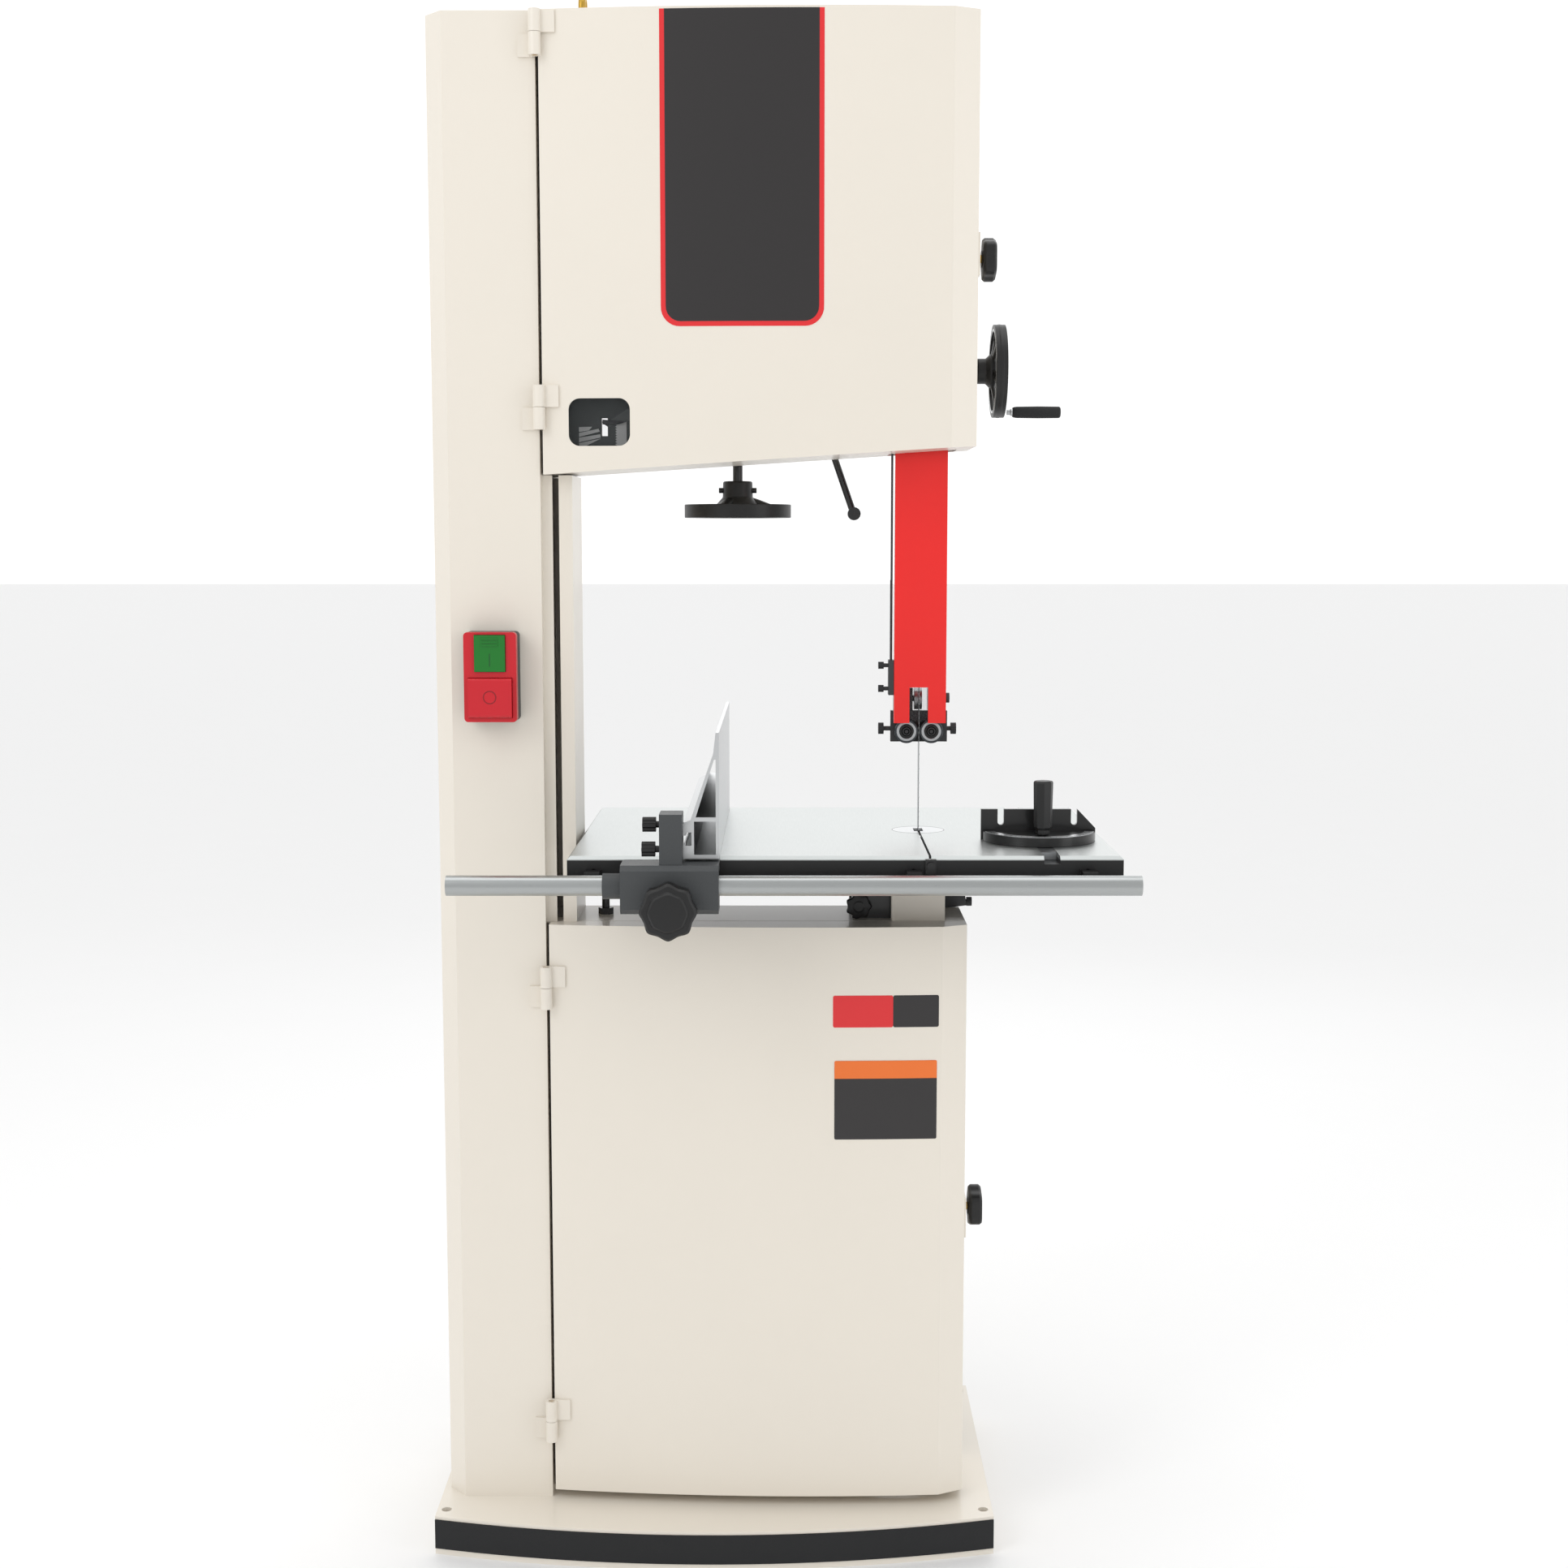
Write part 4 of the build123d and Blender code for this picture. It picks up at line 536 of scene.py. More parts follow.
def oval_ring(radius: float, half_wide: float, half_tall: float, centre: tuple, along: tuple,
              segments: int = 96) -> np.ndarray:
    """Torus with an oval section.

    Angle t goes round the ring and s round its section: the point stands off by radius plus the half
    width times the cosine of s, and along the axis by the half height times its sine.

    Args:
        radius: Radius to the middle of the section.
        half_wide: Half of the section across the ring.
        half_tall: Half of the section along the axis.
        centre: Centre of the ring.
        along: Axis of the ring.
        segments: Steps round the ring.

    Returns:
        Grid of points, ring by section.
    """
    side, up, way = axes_for(along)
    t = np.linspace(0, 2 * np.pi, segments, endpoint=False)[:, None, None]
    s = np.linspace(0, 2 * np.pi, 24, endpoint=False)[None, :, None]
    reach = radius + half_wide * np.cos(s)
    return np.array(centre) + reach * (np.cos(t) * side + np.sin(t) * up) + half_tall * np.sin(s) * way


# ---------------------------------------------------------------- the studio


@dataclass(frozen=True)
class SoftBox:
    """One soft box: its name, where it hangs, its width and height, and its power in watts."""

    name: str
    place: tuple[float, float, float]
    size: tuple[float, float]
    watts: float


@dataclass
class Studio:
    """Floor, lights and camera."""

    lens: float = 49.5
    eye: tuple[float, float, float] = (0.0892, -2.854, 1.294)
    pitch: float = 6.48
    floor_half: float = 60.0
    sky_front: float = 0.8
    sky_back: float = 1.14
    tone: str = "Standard"
    aim: tuple[float, float, float] = (0.0, 0.0, 1.0)
    boxes: tuple[SoftBox, ...] = (
        SoftBox("key", (-2.3, -2.6, 3.0), (1.5, 2.4), 26),
        SoftBox("fill", (2.8, -2.0, 1.7), (1.2, 2.6), 12),
        SoftBox("top", (0.0, -0.2, 3.6), (2.4, 1.8), 15),
        SoftBox("back", (0.6, 3.0, 2.4), (2.6, 2.0), 9),
    )

    def camera(self) -> bpy.types.Object:
        """Set the camera at eye height, looking a little down.

        Returns:
            The camera.
        """
        data = bpy.data.cameras.new("camera")
        data.lens = self.lens
        data.sensor_width = 36.0
        data.clip_end = 100.0
        camera = bpy.data.objects.new("camera", data)
        camera.location = self.eye
        camera.rotation_euler = Euler((math.radians(90 - self.pitch), 0.0, 0.0))
        bpy.context.scene.collection.objects.link(camera)
        bpy.context.scene.camera = camera
        return camera

    def hang(self, box: SoftBox) -> None:
        """Hang one soft box, turned to face the middle of the machine.

        Args:
            box: Soft box to hang.
        """
        data = bpy.data.lights.new(box.name, "AREA")
        data.shape = "RECTANGLE"
        data.size, data.size_y = box.size
        data.energy = box.watts
        lamp = bpy.data.objects.new(box.name, data)
        lamp.location = box.place
        lamp.rotation_euler = (Vector(self.aim) - Vector(box.place)).to_track_quat("-Z", "Y").to_euler()
        bpy.context.scene.collection.objects.link(lamp)

    def build(self, paints: Paints) -> None:
        """Make the camera, floor, sky and lamps.

        Args:
            paints: Materials already built.
        """
        self.camera()
        skin = Skin()
        edge = np.linspace(-self.floor_half, self.floor_half, 9)
        x, y = np.meshgrid(edge, edge, indexing="ij")
        skin.grid(np.stack([x, y, np.zeros_like(x)], axis=-1), False, False)
        floor = skin.piece("studio_floor", paints.get(FLOOR))
        world = bpy.data.worlds.new("sky")
        world.use_nodes = True
        sky = next(n for n in world.node_tree.nodes if n.type == "BACKGROUND")
        sky.inputs["Color"].default_value = (1.0, 1.0, 1.0, 1.0)
        place = add(world, "ShaderNodeTexCoord")
        split = add(world, "ShaderNodeSeparateXYZ", None, {"Vector": place.outputs["Generated"]})
        fade = add(world, "ShaderNodeMapRange", {"From Min": -0.6, "From Max": 0.8, "To Min": self.sky_front,
                                                 "To Max": self.sky_back}, {"Value": split.outputs["Y"]})
        world.node_tree.links.new(fade.outputs["Result"], sky.inputs["Strength"])
        bpy.context.scene.world = world
        # Plain sRGB display, so that each finish shows the colour its hex value states.
        bpy.context.scene.view_settings.view_transform = self.tone
        for box in self.boxes:
            self.hang(box)


# ---------------------------------------------------------------- shared placing


def from_blade(points: np.ndarray) -> np.ndarray:
    """Turn millimetres measured from the blade's cutting run and the floor into the row frame.

    Args:
        points: Array whose last axis is X, Y and Z in millimetres.

    Returns:
        The same points in metres.
    """
    return np.asarray(points, dtype=float) * MM + np.array([BLADE_X, BLADE_Y, 0.0])


def slab(skin: Skin, front: np.ndarray, back: np.ndarray) -> None:
    """Close two matching grids into a thin solid.

    Args:
        skin: Skin that takes the surfaces.
        front: Grid of the shown face.
        back: Grid of the hidden face, point for point.
    """
    skin.grid(front, False, False)
    skin.grid(back[::-1], False, False)
    for a, b in ((front[0], back[0]), (back[-1], front[-1])):
        skin.grid(np.stack([b, a]), False, False)
    for a, b in ((front[:, 0], back[:, 0]), (back[:, -1], front[:, -1])):
        skin.grid(np.stack([a, b]), False, False)


def attach(piece: bpy.types.Object, body: str, slot: str, *replaced: str) -> None:
    """Let a piece ride and hide what it stands for.

    Args:
        piece: The piece.
        body: CAD body that it moves with.
        slot: Material slot name; not used.
        replaced: CAD nodes it stands for.
    """
    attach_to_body(piece, body)
    if replaced:
        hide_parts(*replaced)
    LOG.info("%s rides on %s, %d faces", piece.name, body, len(piece.data.polygons))


# ---------------------------------------------------------------- door films


@dataclass
class DoorFront:
    """Front of a wheel door: an arc that runs into a straight facet, in millimetres from the blade."""

    bend_x: float
    right_x: float
    left: tuple[float, float] = (-473.5, -114.0)
    peak: tuple[float, float] = (-185.0, -135.0)
    bend_y: float = -130.0
    right_y: float = -114.0

    def y(self, x: np.ndarray) -> np.ndarray:
        """Depth of the front at each X.

        The arc is the circle through the left edge, the peak and the bend; past the bend the front is
        the straight line from the bend to the right edge.

        Args:
            x: Positions along the door.

        Returns:
            Depth at each position.
        """
        points = np.array([self.left, self.peak, (self.bend_x, self.bend_y)])
        rows = np.column_stack([2 * points, np.ones(3)])
        a, b, c = np.linalg.solve(rows, (points ** 2).sum(axis=1))
        radius = math.sqrt(c + a * a + b * b)
        arc = b - np.sqrt(radius ** 2 - (np.clip(x, self.left[0], self.bend_x) - a) ** 2)
        slope = (self.right_y - self.bend_y) / (self.right_x - self.bend_x)
        facet = self.bend_y + slope * (x - self.bend_x)
        return np.where(x > self.bend_x, facet, arc)

    def film(self, name: str, material: bpy.types.Material, x: tuple[float, float], z: tuple[float, float],
             lift: float, low_radius: float = 0.0, high_radius: float = 0.0, lean: float = 0.0
             ) -> bpy.types.Object:
        """Lay a film of flat colour on the front, with rounded corners.

        Each level's half width is the full one, less a radius, plus the chord of the corner circle at
        that level; the film then follows the front's depth, a lift in front of it.

        Args:
            name: Name of the piece.
            material: Its material.
            x: Left and right edges.
            z: Bottom and top edges.
            lift: How far the film stands off the paint.
            low_radius: Radius of the bottom corners.
            high_radius: Radius of the top corners.
            lean: How far the top is shifted to the right of the bottom.

        Returns:
            The new piece.
        """
        centre, half = (x[0] + x[1]) / 2, (x[1] - x[0]) / 2
        ease = 0.5 - 0.5 * np.cos(np.linspace(0, np.pi, 49))
        height = z[0] + (z[1] - z[0]) * ease
        low = np.clip(low_radius - (height - z[0]), 0, low_radius)
        high = np.clip(high_radius - (z[1] - height), 0, high_radius)
        reach = half - low_radius * (low > 0) + np.sqrt(low_radius ** 2 - low ** 2) * (low > 0)
        reach = reach - high_radius * (high > 0) + np.sqrt(high_radius ** 2 - high ** 2) * (high > 0)
        share = np.linspace(-1, 1, 33)[:, None]
        across = centre + share * reach[None, :] + lean * ease[None, :]
        level = np.broadcast_to(height, across.shape)
        depth = self.y(across)
        skin = Skin()
        slab(skin, from_blade(np.stack([across, depth - lift, level], axis=-1)),
             from_blade(np.stack([across, depth + 0.4, level], axis=-1)))
        return skin.piece(name, material, 50)


@dataclass
class DoorFilms:
    """Plain colour films of the two wheel doors; they carry no lettering."""

    upper: DoorFront = field(default_factory=lambda: DoorFront(30.0, 62.0))
    lower: DoorFront = field(default_factory=lambda: DoorFront(24.0, 56.0))
    panel_x: tuple[float, float] = (-326.0, -127.0)
    panel_z: tuple[float, float] = (1552.0, 1927.0)
    border: float = 6.0
    tag_x: tuple[float, float] = (-114.0, 20.0)
    tag_z: tuple[float, float] = (681.0, 722.0)
    tag_split: float = -38.0
    label_x: tuple[float, float] = (-112.0, 18.0)
    label_z: tuple[float, float] = (536.0, 638.0)
    header_z: float = 615.0

    def build(self, paints: Paints) -> None:
        """Make every film and let it ride on its door.

        Args:
            paints: Materials already built.
        """
        red, charcoal = paints.get(PRINT_RED), paints.get(PRINT_CHARCOAL)
        orange = paints.get(PRINT_ORANGE)
        (x0, x1), (z0, z1), edge = self.panel_x, self.panel_z, self.border
        films = [
            ("upper_door", self.upper.film("door_panel_border", red, (x0, x1), (z0, z1), 0.25, 23.0)),
            ("upper_door", self.upper.film("door_panel", charcoal, (x0 + edge, x1 - edge), (z0 + edge, z1), 0.45,
                                           18.0)),
            ("lower_door", self.lower.film("door_tag_red", red, (self.tag_x[0], self.tag_split), self.tag_z, 0.3,
                                           2.5, 2.5)),
            ("lower_door", self.lower.film("door_tag_black", charcoal, (self.tag_split, self.tag_x[1]), self.tag_z,
                                           0.3, 2.5, 2.5)),
            ("lower_door", self.lower.film("door_label", charcoal, self.label_x, self.label_z, 0.3, 2.0, 2.0)),
            ("lower_door", self.lower.film("door_label_header", orange, self.label_x,
                                           (self.header_z, self.label_z[1]), 0.45, 0.5, 2.0)),
        ]
        for door, piece in films:
            attach(piece, door, "black_plastic")


# ---------------------------------------------------------------- blade


@dataclass
class SawBand:
    """Toothed band round both wheels, in millimetres from the blade."""

    wheel_x: float = -232.0
    low_z: float = 445.0
    high_z: float = 1662.0
    inner_radius: float = 231.6
    thickness: float = 0.8
    half_width: float = 9.5
    teeth: int = 620
    gullet: float = 2.6

    def loop(self, steps: np.ndarray) -> tuple[np.ndarray, np.ndarray]:
        """Place and outward direction along the band's closed run.

        The run is two straights joined by two half circles: within a straight the place moves with the
        length, within a half circle its angle is the length over the radius.

        Args:
            steps: Shares of the whole run, from zero to one.

        Returns:
            Places and directions as X and Z pairs.
        """
        straight = self.high_z - self.low_z
        half_turn = math.pi * self.inner_radius
        length = steps * 2 * (straight + half_turn)
        up = np.clip(length, 0, straight)
        over = np.clip(length - straight, 0, half_turn) / self.inner_radius
        down = np.clip(length - straight - half_turn, 0, straight)
        under = np.clip(length - 2 * straight - half_turn, 0, half_turn) / self.inner_radius
        turn = over + under
        way = np.stack([np.cos(turn), np.sin(turn)], axis=-1)
        centre = np.stack([np.full_like(turn, self.wheel_x), self.low_z + up - down], axis=-1)
        return centre, way

    def build(self, paints: Paints) -> None:
        """Make the band: at each step a flat section, whose front edge steps back in the gullets.

        Three steps make a tooth: its tip, its gullet's floor and the rise of its back.

        Args:
            paints: Materials already built.
        """
        count = self.teeth * 3
        index = np.arange(count)
        share = (index // 3 + np.array([0.0, 0.14, 0.62])[index % 3]) / self.teeth
        centre, way = self.loop(share)
        back_step = np.array([0.0, self.gullet, self.gullet * 0.75])[index % 3]
        set_out = np.array([0.55, 0.0, 0.0])[index % 3] * np.array([0, 1, -1])[(index // 3) % 3]
        radii = np.array([0.0, self.thickness, self.thickness, 0.0]) + self.inner_radius
        front = -self.half_width + back_step
        depth = np.stack([front, front, np.full(count, self.half_width), np.full(count, self.half_width)], axis=1)
        lean = np.stack([set_out, set_out, np.zeros(count), np.zeros(count)], axis=1) * 0.5
        reach = radii[None, :] + lean
        x = centre[:, 0, None] + way[:, 0, None] * reach
        z = centre[:, 1, None] + way[:, 1, None] * reach
        skin = Skin()
        skin.grid(from_blade(np.stack([x, depth, z], axis=-1)), True, True)
        band = skin.piece("saw_band", paints.get(BLADE_STEEL), 20)
        attach(band, "frame", "blade_steel", "saw_blade")


# ---------------------------------------------------------------- tension scale


@dataclass
class TensionScale:
    """Printed bars and blade mark on the scale plate behind the window, in millimetres from the blade."""

    plate_y: float = -79.0
    rise: float = 0.35
    left: float = -432.0
    slot: tuple[float, float] = (-404.0, -396.0)
    band: tuple[float, float] = (-384.5, -372.5)
    band_top: float = 1438.5
    low: float = 1407.0
    teeth: int = 10

    def patch(self, skin: Skin, corners: list[tuple[float, float]]) -> None:
        """Raise a four-cornered print off the plate.

        Points are blended between the four corners by their shares across and up.

        Args:
            skin: Skin that takes the patch.
            corners: Bottom left, bottom right, top right and top left.
        """
        a, b, c, d = (np.array(p) for p in corners)
        u, v = np.meshgrid(np.linspace(0, 1, 3), np.linspace(0, 1, 3), indexing="ij")
        u, v = u[..., None], v[..., None]
        flat = (1 - u) * (1 - v) * a + u * (1 - v) * b + u * v * c + (1 - u) * v * d
        front = np.stack([flat[..., 0], np.full(flat.shape[:2], self.plate_y - self.rise), flat[..., 1]], axis=-1)
        back = front + np.array([0.0, self.rise + 0.3, 0.0])
        slab(skin, from_blade(front), from_blade(back))

    def build(self, paints: Paints) -> None:
        """Print the four leaning bars, the grey wedge and the toothed band.

        Args:
            paints: Materials already built.
        """
        skin = Skin()
        left, right = self.left, self.slot[0] - 2.0
        self.patch(skin, [(left, 1427.0), (right - 13.5, 1429.0), (right - 9.5, 1433.5), (left, 1433.0)])
        self.patch(skin, [(left, 1421.0), (right, 1427.5), (right - 1.5, 1431.0), (left, 1425.8)])
        self.patch(skin, [(left, 1414.3), (right + 1.0, 1420.2), (right + 0.5, 1424.2), (left, 1420.0)])
        self.patch(skin, [(left, self.low), (right - 20.0, self.low + 1.5), (right + 1.5, 1419.0), (left, 1413.2)])
        (start, end), step = self.band, (self.band_top - self.low) / self.teeth
        self.patch(skin, [(start, self.low), (end, self.low), (end, self.band_top + 1.5), (start, self.band_top)])
        for tooth in range(self.teeth):
            z = self.low + step * tooth
            self.patch(skin, [(start - 2.2, z + step * 0.45), (start, z), (start, z + step * 0.92),
                              (start - 2.0, z + step * 0.55)])
        attach(skin.piece("tension_scale_print", paints.get(PRINT_LIGHT), 30), "frame", "scale_dark")
        skin = Skin()
        near, far = self.slot[1] + 1.5, -364.0
        self.patch(skin, [(near, 1433.4), (far, 1442.0), (far, 1460.0), (near, 1440.6)])
        attach(skin.piece("tension_scale_wedge", paints.get(PRINT_MID), 30), "frame", "scale_dark")


# ---------------------------------------------------------------- turned pieces


def middle(node: str) -> np.ndarray:
    """Centre of a node's box.

    Args:
        node: CAD node.

    Returns:
        The point in metres.
    """
    low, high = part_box(node)
    return (np.array(low) + np.array(high)) / 2


def turn(name: str, material: bpy.types.Material, profile: list[tuple[float, float]], centre: np.ndarray,
         along: tuple, corner: float = 0.6, segments: int = 72, closed: bool = False, **cuts: float
         ) -> bpy.types.Object:
    """Turn one piece from a profile in millimetres.

    Args:
        name: Name of the piece.
        material: Its material.
        profile: Points as radius and height.
        centre: Point of the axis at height zero, in metres.
        along: Direction of the axis.
        corner: Length over which the corners are rounded.
        segments: Steps round the axis.
        closed: Whether the profile closes on itself, as a ring's does.
        **cuts: Lobes, depth or flats, passed to the turned surface.

    Returns:
        The new piece.
    """
    points = rounded(profile, corner)
    skin = Skin()
    skin.grid(turned(points * MM, tuple(centre), along, segments, **cuts), closed, True)
    return skin.piece(name, material, 32)


@dataclass
class GuideBearings:
    """Two ball bearings that roll on the blade's sides, seen end on."""

    radius: float = 15.5
    race: float = 12.6
    shield: float = 9.0
    front: float = 6.5
    back: float = 6.5

    def build(self, paints: Paints) -> None:
        """Make each race, its light shield, its seal and the socket screw.

        Args:
            paints: Materials already built.
        """
        facing = (0.0, -1.0, 0.0)
        for side in ("left", "right"):
            body = f"upper_{side}_bearing"
            centre = middle(body)
            r, f, b = self.radius, self.front, self.back
            outer = [(r - 2.4, -b), (r - 0.5, -b), (r, -b + 0.5), (r, f - 0.6), (r - 0.6, f), (r - 2.2, f),
                     (r - 2.6, f - 0.5), (r - 2.6, -b)]
            race = turn(f"guide_{side}_race", paints.get(DARK_STEEL), outer, centre, facing, 0.3, closed=True)
            attach(race, body, "machined_steel", body)
            shield = [(0.0, -b + 0.6), (self.race + 0.4, -b + 0.6), (self.race + 0.4, f - 0.4),
                      (self.shield + 0.9, f - 0.1), (self.shield, f - 0.9), (0.0, f - 1.0)]
            attach(turn(f"guide_{side}_shield", paints.get(STEEL), shield, centre, facing, 0.4), body,
                   "machined_steel")
            seal = [(0.0, f - 1.4), (self.shield, f - 1.4), (self.shield, f - 0.2), (6.4, f + 0.1), (5.6, f - 0.7),
                    (4.6, f - 0.7), (4.6, f + 1.6), (4.0, f + 2.0), (2.2, f + 2.0), (2.0, f + 0.4), (0.0, f + 0.4)]
            attach(turn(f"guide_{side}_seal", paints.get(BLACK_PLASTIC), seal, centre, facing, 0.2), body,
                   "machined_steel")


@dataclass
class SpokedWheel:
    """Handwheel: an oval rim, a turned hub and arched spokes.

    Attributes:
        name: Name of the piece.
        node: CAD node that it stands for.
        body: Body that it rides on.
        along: Axis, pointing from the spokes' side to the hub's.
        rim: Radius to the middle of the rim, in millimetres.
        wide: Half of the rim across.
        tall: Half of the rim along the axis.
        rim_height: Height of the rim's middle over the centre.
        hub: Profile of the hub.
        spokes: Number of spokes.
        spoke: Half width and half thickness of a spoke.
        arch: Height of the spokes at the hub and at the rim.
        first: Angle of the first spoke, in degrees.
    """

    name: str
    node: str
    body: str
    along: tuple[float, float, float]
    rim: float
    wide: float
    tall: float
    rim_height: float
    hub: list[tuple[float, float]]
    spokes: int
    spoke: tuple[float, float]
    arch: tuple[float, float]
    first: float = 90.0

    def build(self, paints: Paints, centre: np.ndarray) -> bpy.types.Object:
        """Make the wheel as one skin.

        A spoke's middle line runs out in a straight line while its height falls from the hub's to the
        rim's as half a cosine; its section narrows at mid length and closes at both ends.

        Args:
            paints: Materials already built.
            centre: Point of the axis at height zero, in metres.

        Returns:
            The wheel.
        """
        side, up, way = axes_for(self.along)
        skin = Skin()
        rim_middle = centre + way * self.rim_height * MM
        skin.grid(oval_ring(self.rim * MM, self.wide * MM, self.tall * MM, tuple(rim_middle), self.along), True, True)
        skin.grid(turned(rounded(self.hub, 1.2) * MM, tuple(centre), self.along), False, True)
        share = np.linspace(0, 1, 24)
        close = np.clip(np.minimum(share, 1 - share) * 24, 0, 1)
        run = (4 + (self.rim - 4) * share)[:, None] * MM
        fall = self.arch[1] + (self.arch[0] - self.arch[1]) * (0.5 + 0.5 * np.cos(np.pi * share))
        for number in range(self.spokes):
            angle = math.radians(self.first + 360 / self.spokes * number)
            out = math.cos(angle) * side + math.sin(angle) * up
            path = centre + run * out + (fall * MM)[:, None] * way
            waist = 1 + 0.45 * (2 * share - 1) ** 2
            skin.grid(swept(path, self.spoke[0] * waist * close * MM, self.spoke[1] * close * MM,
                            tuple(np.cross(way, out))), False, True)
        wheel = skin.piece(self.name, paints.get(BLACK_PLASTIC), 40)
        attach(wheel, self.body, "black_plastic", self.node)
        return wheel


@dataclass
class HandWheels:
    """The tension wheel under the upper box and the crank wheel of the guide post."""

    tension_hub: float = 1322.0

    def build(self, paints: Paints) -> None:
        """Make both wheels, the crank's bright edge, its grip and its neck.

        Args:
            paints: Materials already built.
        """
        centre = from_blade(np.array([-237.0, 75.0, self.tension_hub]))
        hub = [(0.0, 14.0), (17.0, 14.0), (28.0, 18.0), (20.0, 27.0), (19.5, 46.5), (18.0, 48.0), (0.0, 48.0)]
        SpokedWheel("tension_wheel", "tension_handwheel", "tension_handwheel", (0.0, 0.0, 1.0), 64.2, 6.3, 8.7, 8.7,
                    hub, 3, (7.5, 5.0), (24.0, 9.0)).build(paints, centre)
        band = [(57.5, 0.6), (58.3, 0.0), (69.9, 0.0), (70.5, 0.7), (70.5, 16.7), (69.9, 17.4), (58.3, 17.4),
                (57.5, 16.8)]
        skin = Skin()
        skin.grid(turned(np.array(band) * MM, tuple(centre), (0.0, 0.0, 1.0), 128), True, True)
        attach(skin.piece("tension_wheel_band", paints.get(BLACK_PLASTIC), 30), "tension_handwheel",
               "black_plastic")
        shaft = from_blade(np.array([0.0, -14.0, 1506.6]))
        hub = [(0.0, 70.0), (15.0, 70.0), (16.0, 71.0), (16.0, 81.0), (21.0, 86.0), (21.0, 92.0), (15.0, 97.0),
               (0.0, 99.0)]
        SpokedWheel("crank_wheel", "post_handwheel", "post_handwheel", (1.0, 0.0, 0.0), 53.6, 5.2, 7.4, 97.4, hub,
                    5, (7.0, 2.8), (89.0, 96.0), -90.0).build(paints, shaft)
        skin = Skin()
        skin.grid(oval_ring(0.0519, 0.0011, 0.0009, tuple(shaft + np.array([0.0907, 0, 0])), (1.0, 0.0, 0.0)), True,
                  True)
        attach(skin.piece("crank_wheel_edge", paints.get(INSERT_METAL)), "post_handwheel", "machined_steel")
        skin = Skin()
        skin.grid(turned(np.array([(49.5, 90.4), (58.4, 90.4), (58.4, 104.6), (49.5, 104.6)]) * MM, tuple(shaft),
                         (1.0, 0.0, 0.0), 96), True, True)
        attach(skin.piece("crank_wheel_band", paints.get(BLACK_PLASTIC), 20), "post_handwheel", "black_plastic")
        low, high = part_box("crank_grip")
        start = np.array([low[0], (low[1] + high[1]) / 2, (low[2] + high[2]) / 2])
        length, radius = (high[0] - low[0]) / MM, (high[2] - low[2]) / 2 / MM
        grip = [(0.0, 3.0), (radius - 1.4, 3.0), (radius - 0.4, 8.0), (radius, length * 0.55),
                (radius - 0.3, length - 1.5), (radius - 2.0, length), (0.0, length)]
        attach(turn("crank_grip_sleeve", paints.get(RUBBER), grip, start, (1.0, 0.0, 0.0), 1.2), "crank_grip",
               "black_plastic", "crank_grip")
        neck = [(0.0, -4.0), (3.4, -4.0), (3.4, 0.0), (4.6, 0.5), (4.6, 3.2), (0.0, 3.2)]
        attach(turn("crank_neck", paints.get(INSERT_METAL), neck, start, (1.0, 0.0, 0.0), 0.4), "crank_grip",
               "machined_steel")


class Way(Enum):
    """Axis that a knob is turned about."""

    X = (1.0, 0.0, 0.0)
    FRONT = (0.0, -1.0, 0.0)
    DOWN = (0.0, 0.0, -1.0)
    BACK = (0.0, 1.0, 0.0)


@dataclass
class LobedKnobs:
    """Moulded knobs with hollows round their rims; each takes its size from its node.

    A shape is its direction, the number and depth of its hollows, the radius and length of each step of its
    stem, and the radius and height of the round boss on its face.
    """

    shapes: dict[str, tuple[Way, int, float, list[tuple[float, float]], tuple[float, float]]] = field(
        default_factory=lambda: {
            "upper_door_knob": (Way.X, 5, 4.2, [(11.0, 1.0)], (9.0, 0.6)),
            "lower_door_knob": (Way.X, 5, 4.2, [(11.0, 1.0)], (9.0, 0.6)),
            "fence_lock_knob": (Way.FRONT, 8, 3.2, [(5.9, 12.5), (13.0, 6.5)], (24.0, 4.0)),
            "tilt_knob": (Way.FRONT, 7, 2.6, [(4.0, 4.7)], (7.0, 0.6)),
        })

    def build(self, paints: Paints) -> None:
        """Make each knob with its stem, a rounded rim and a boss on its face.

        Args:
            paints: Materials already built.
        """
        for node, (way, lobes, depth, stem, (boss, boss_height)) in self.shapes.items():
            low, high = (np.array(corner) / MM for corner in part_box(node))
            axis = int(np.argmax(np.abs(way.value)))
            forward = way.value[axis] > 0
            start = (low + high) / 2
            start[axis] = low[axis] if forward else high[axis]
            length = high[axis] - low[axis]
            radius = float(np.delete(high - low, axis).max()) / 2
            profile, reach = [(0.0, 0.0)], 0.0
            for width, run in stem:
                profile += [(width, reach), (width, reach + run)]
                reach += run
            face = length - boss_height
            profile += [(radius * 0.9, reach + 0.4), (radius, reach + 3.4), (radius, face - 3.4),
                        (radius * 0.9, face - 0.4), (boss + 1.0, face), (boss, face + boss_height * 0.4),
                        (boss * 0.9, length), (0.0, length)]
            knob = turn(f"{node}_grip", paints.get(BLACK_PLASTIC), profile, start * MM, way.value, 0.5, 160,
                        lobes=lobes, depth=depth * MM)
            attach(knob, node, "black_plastic", node)


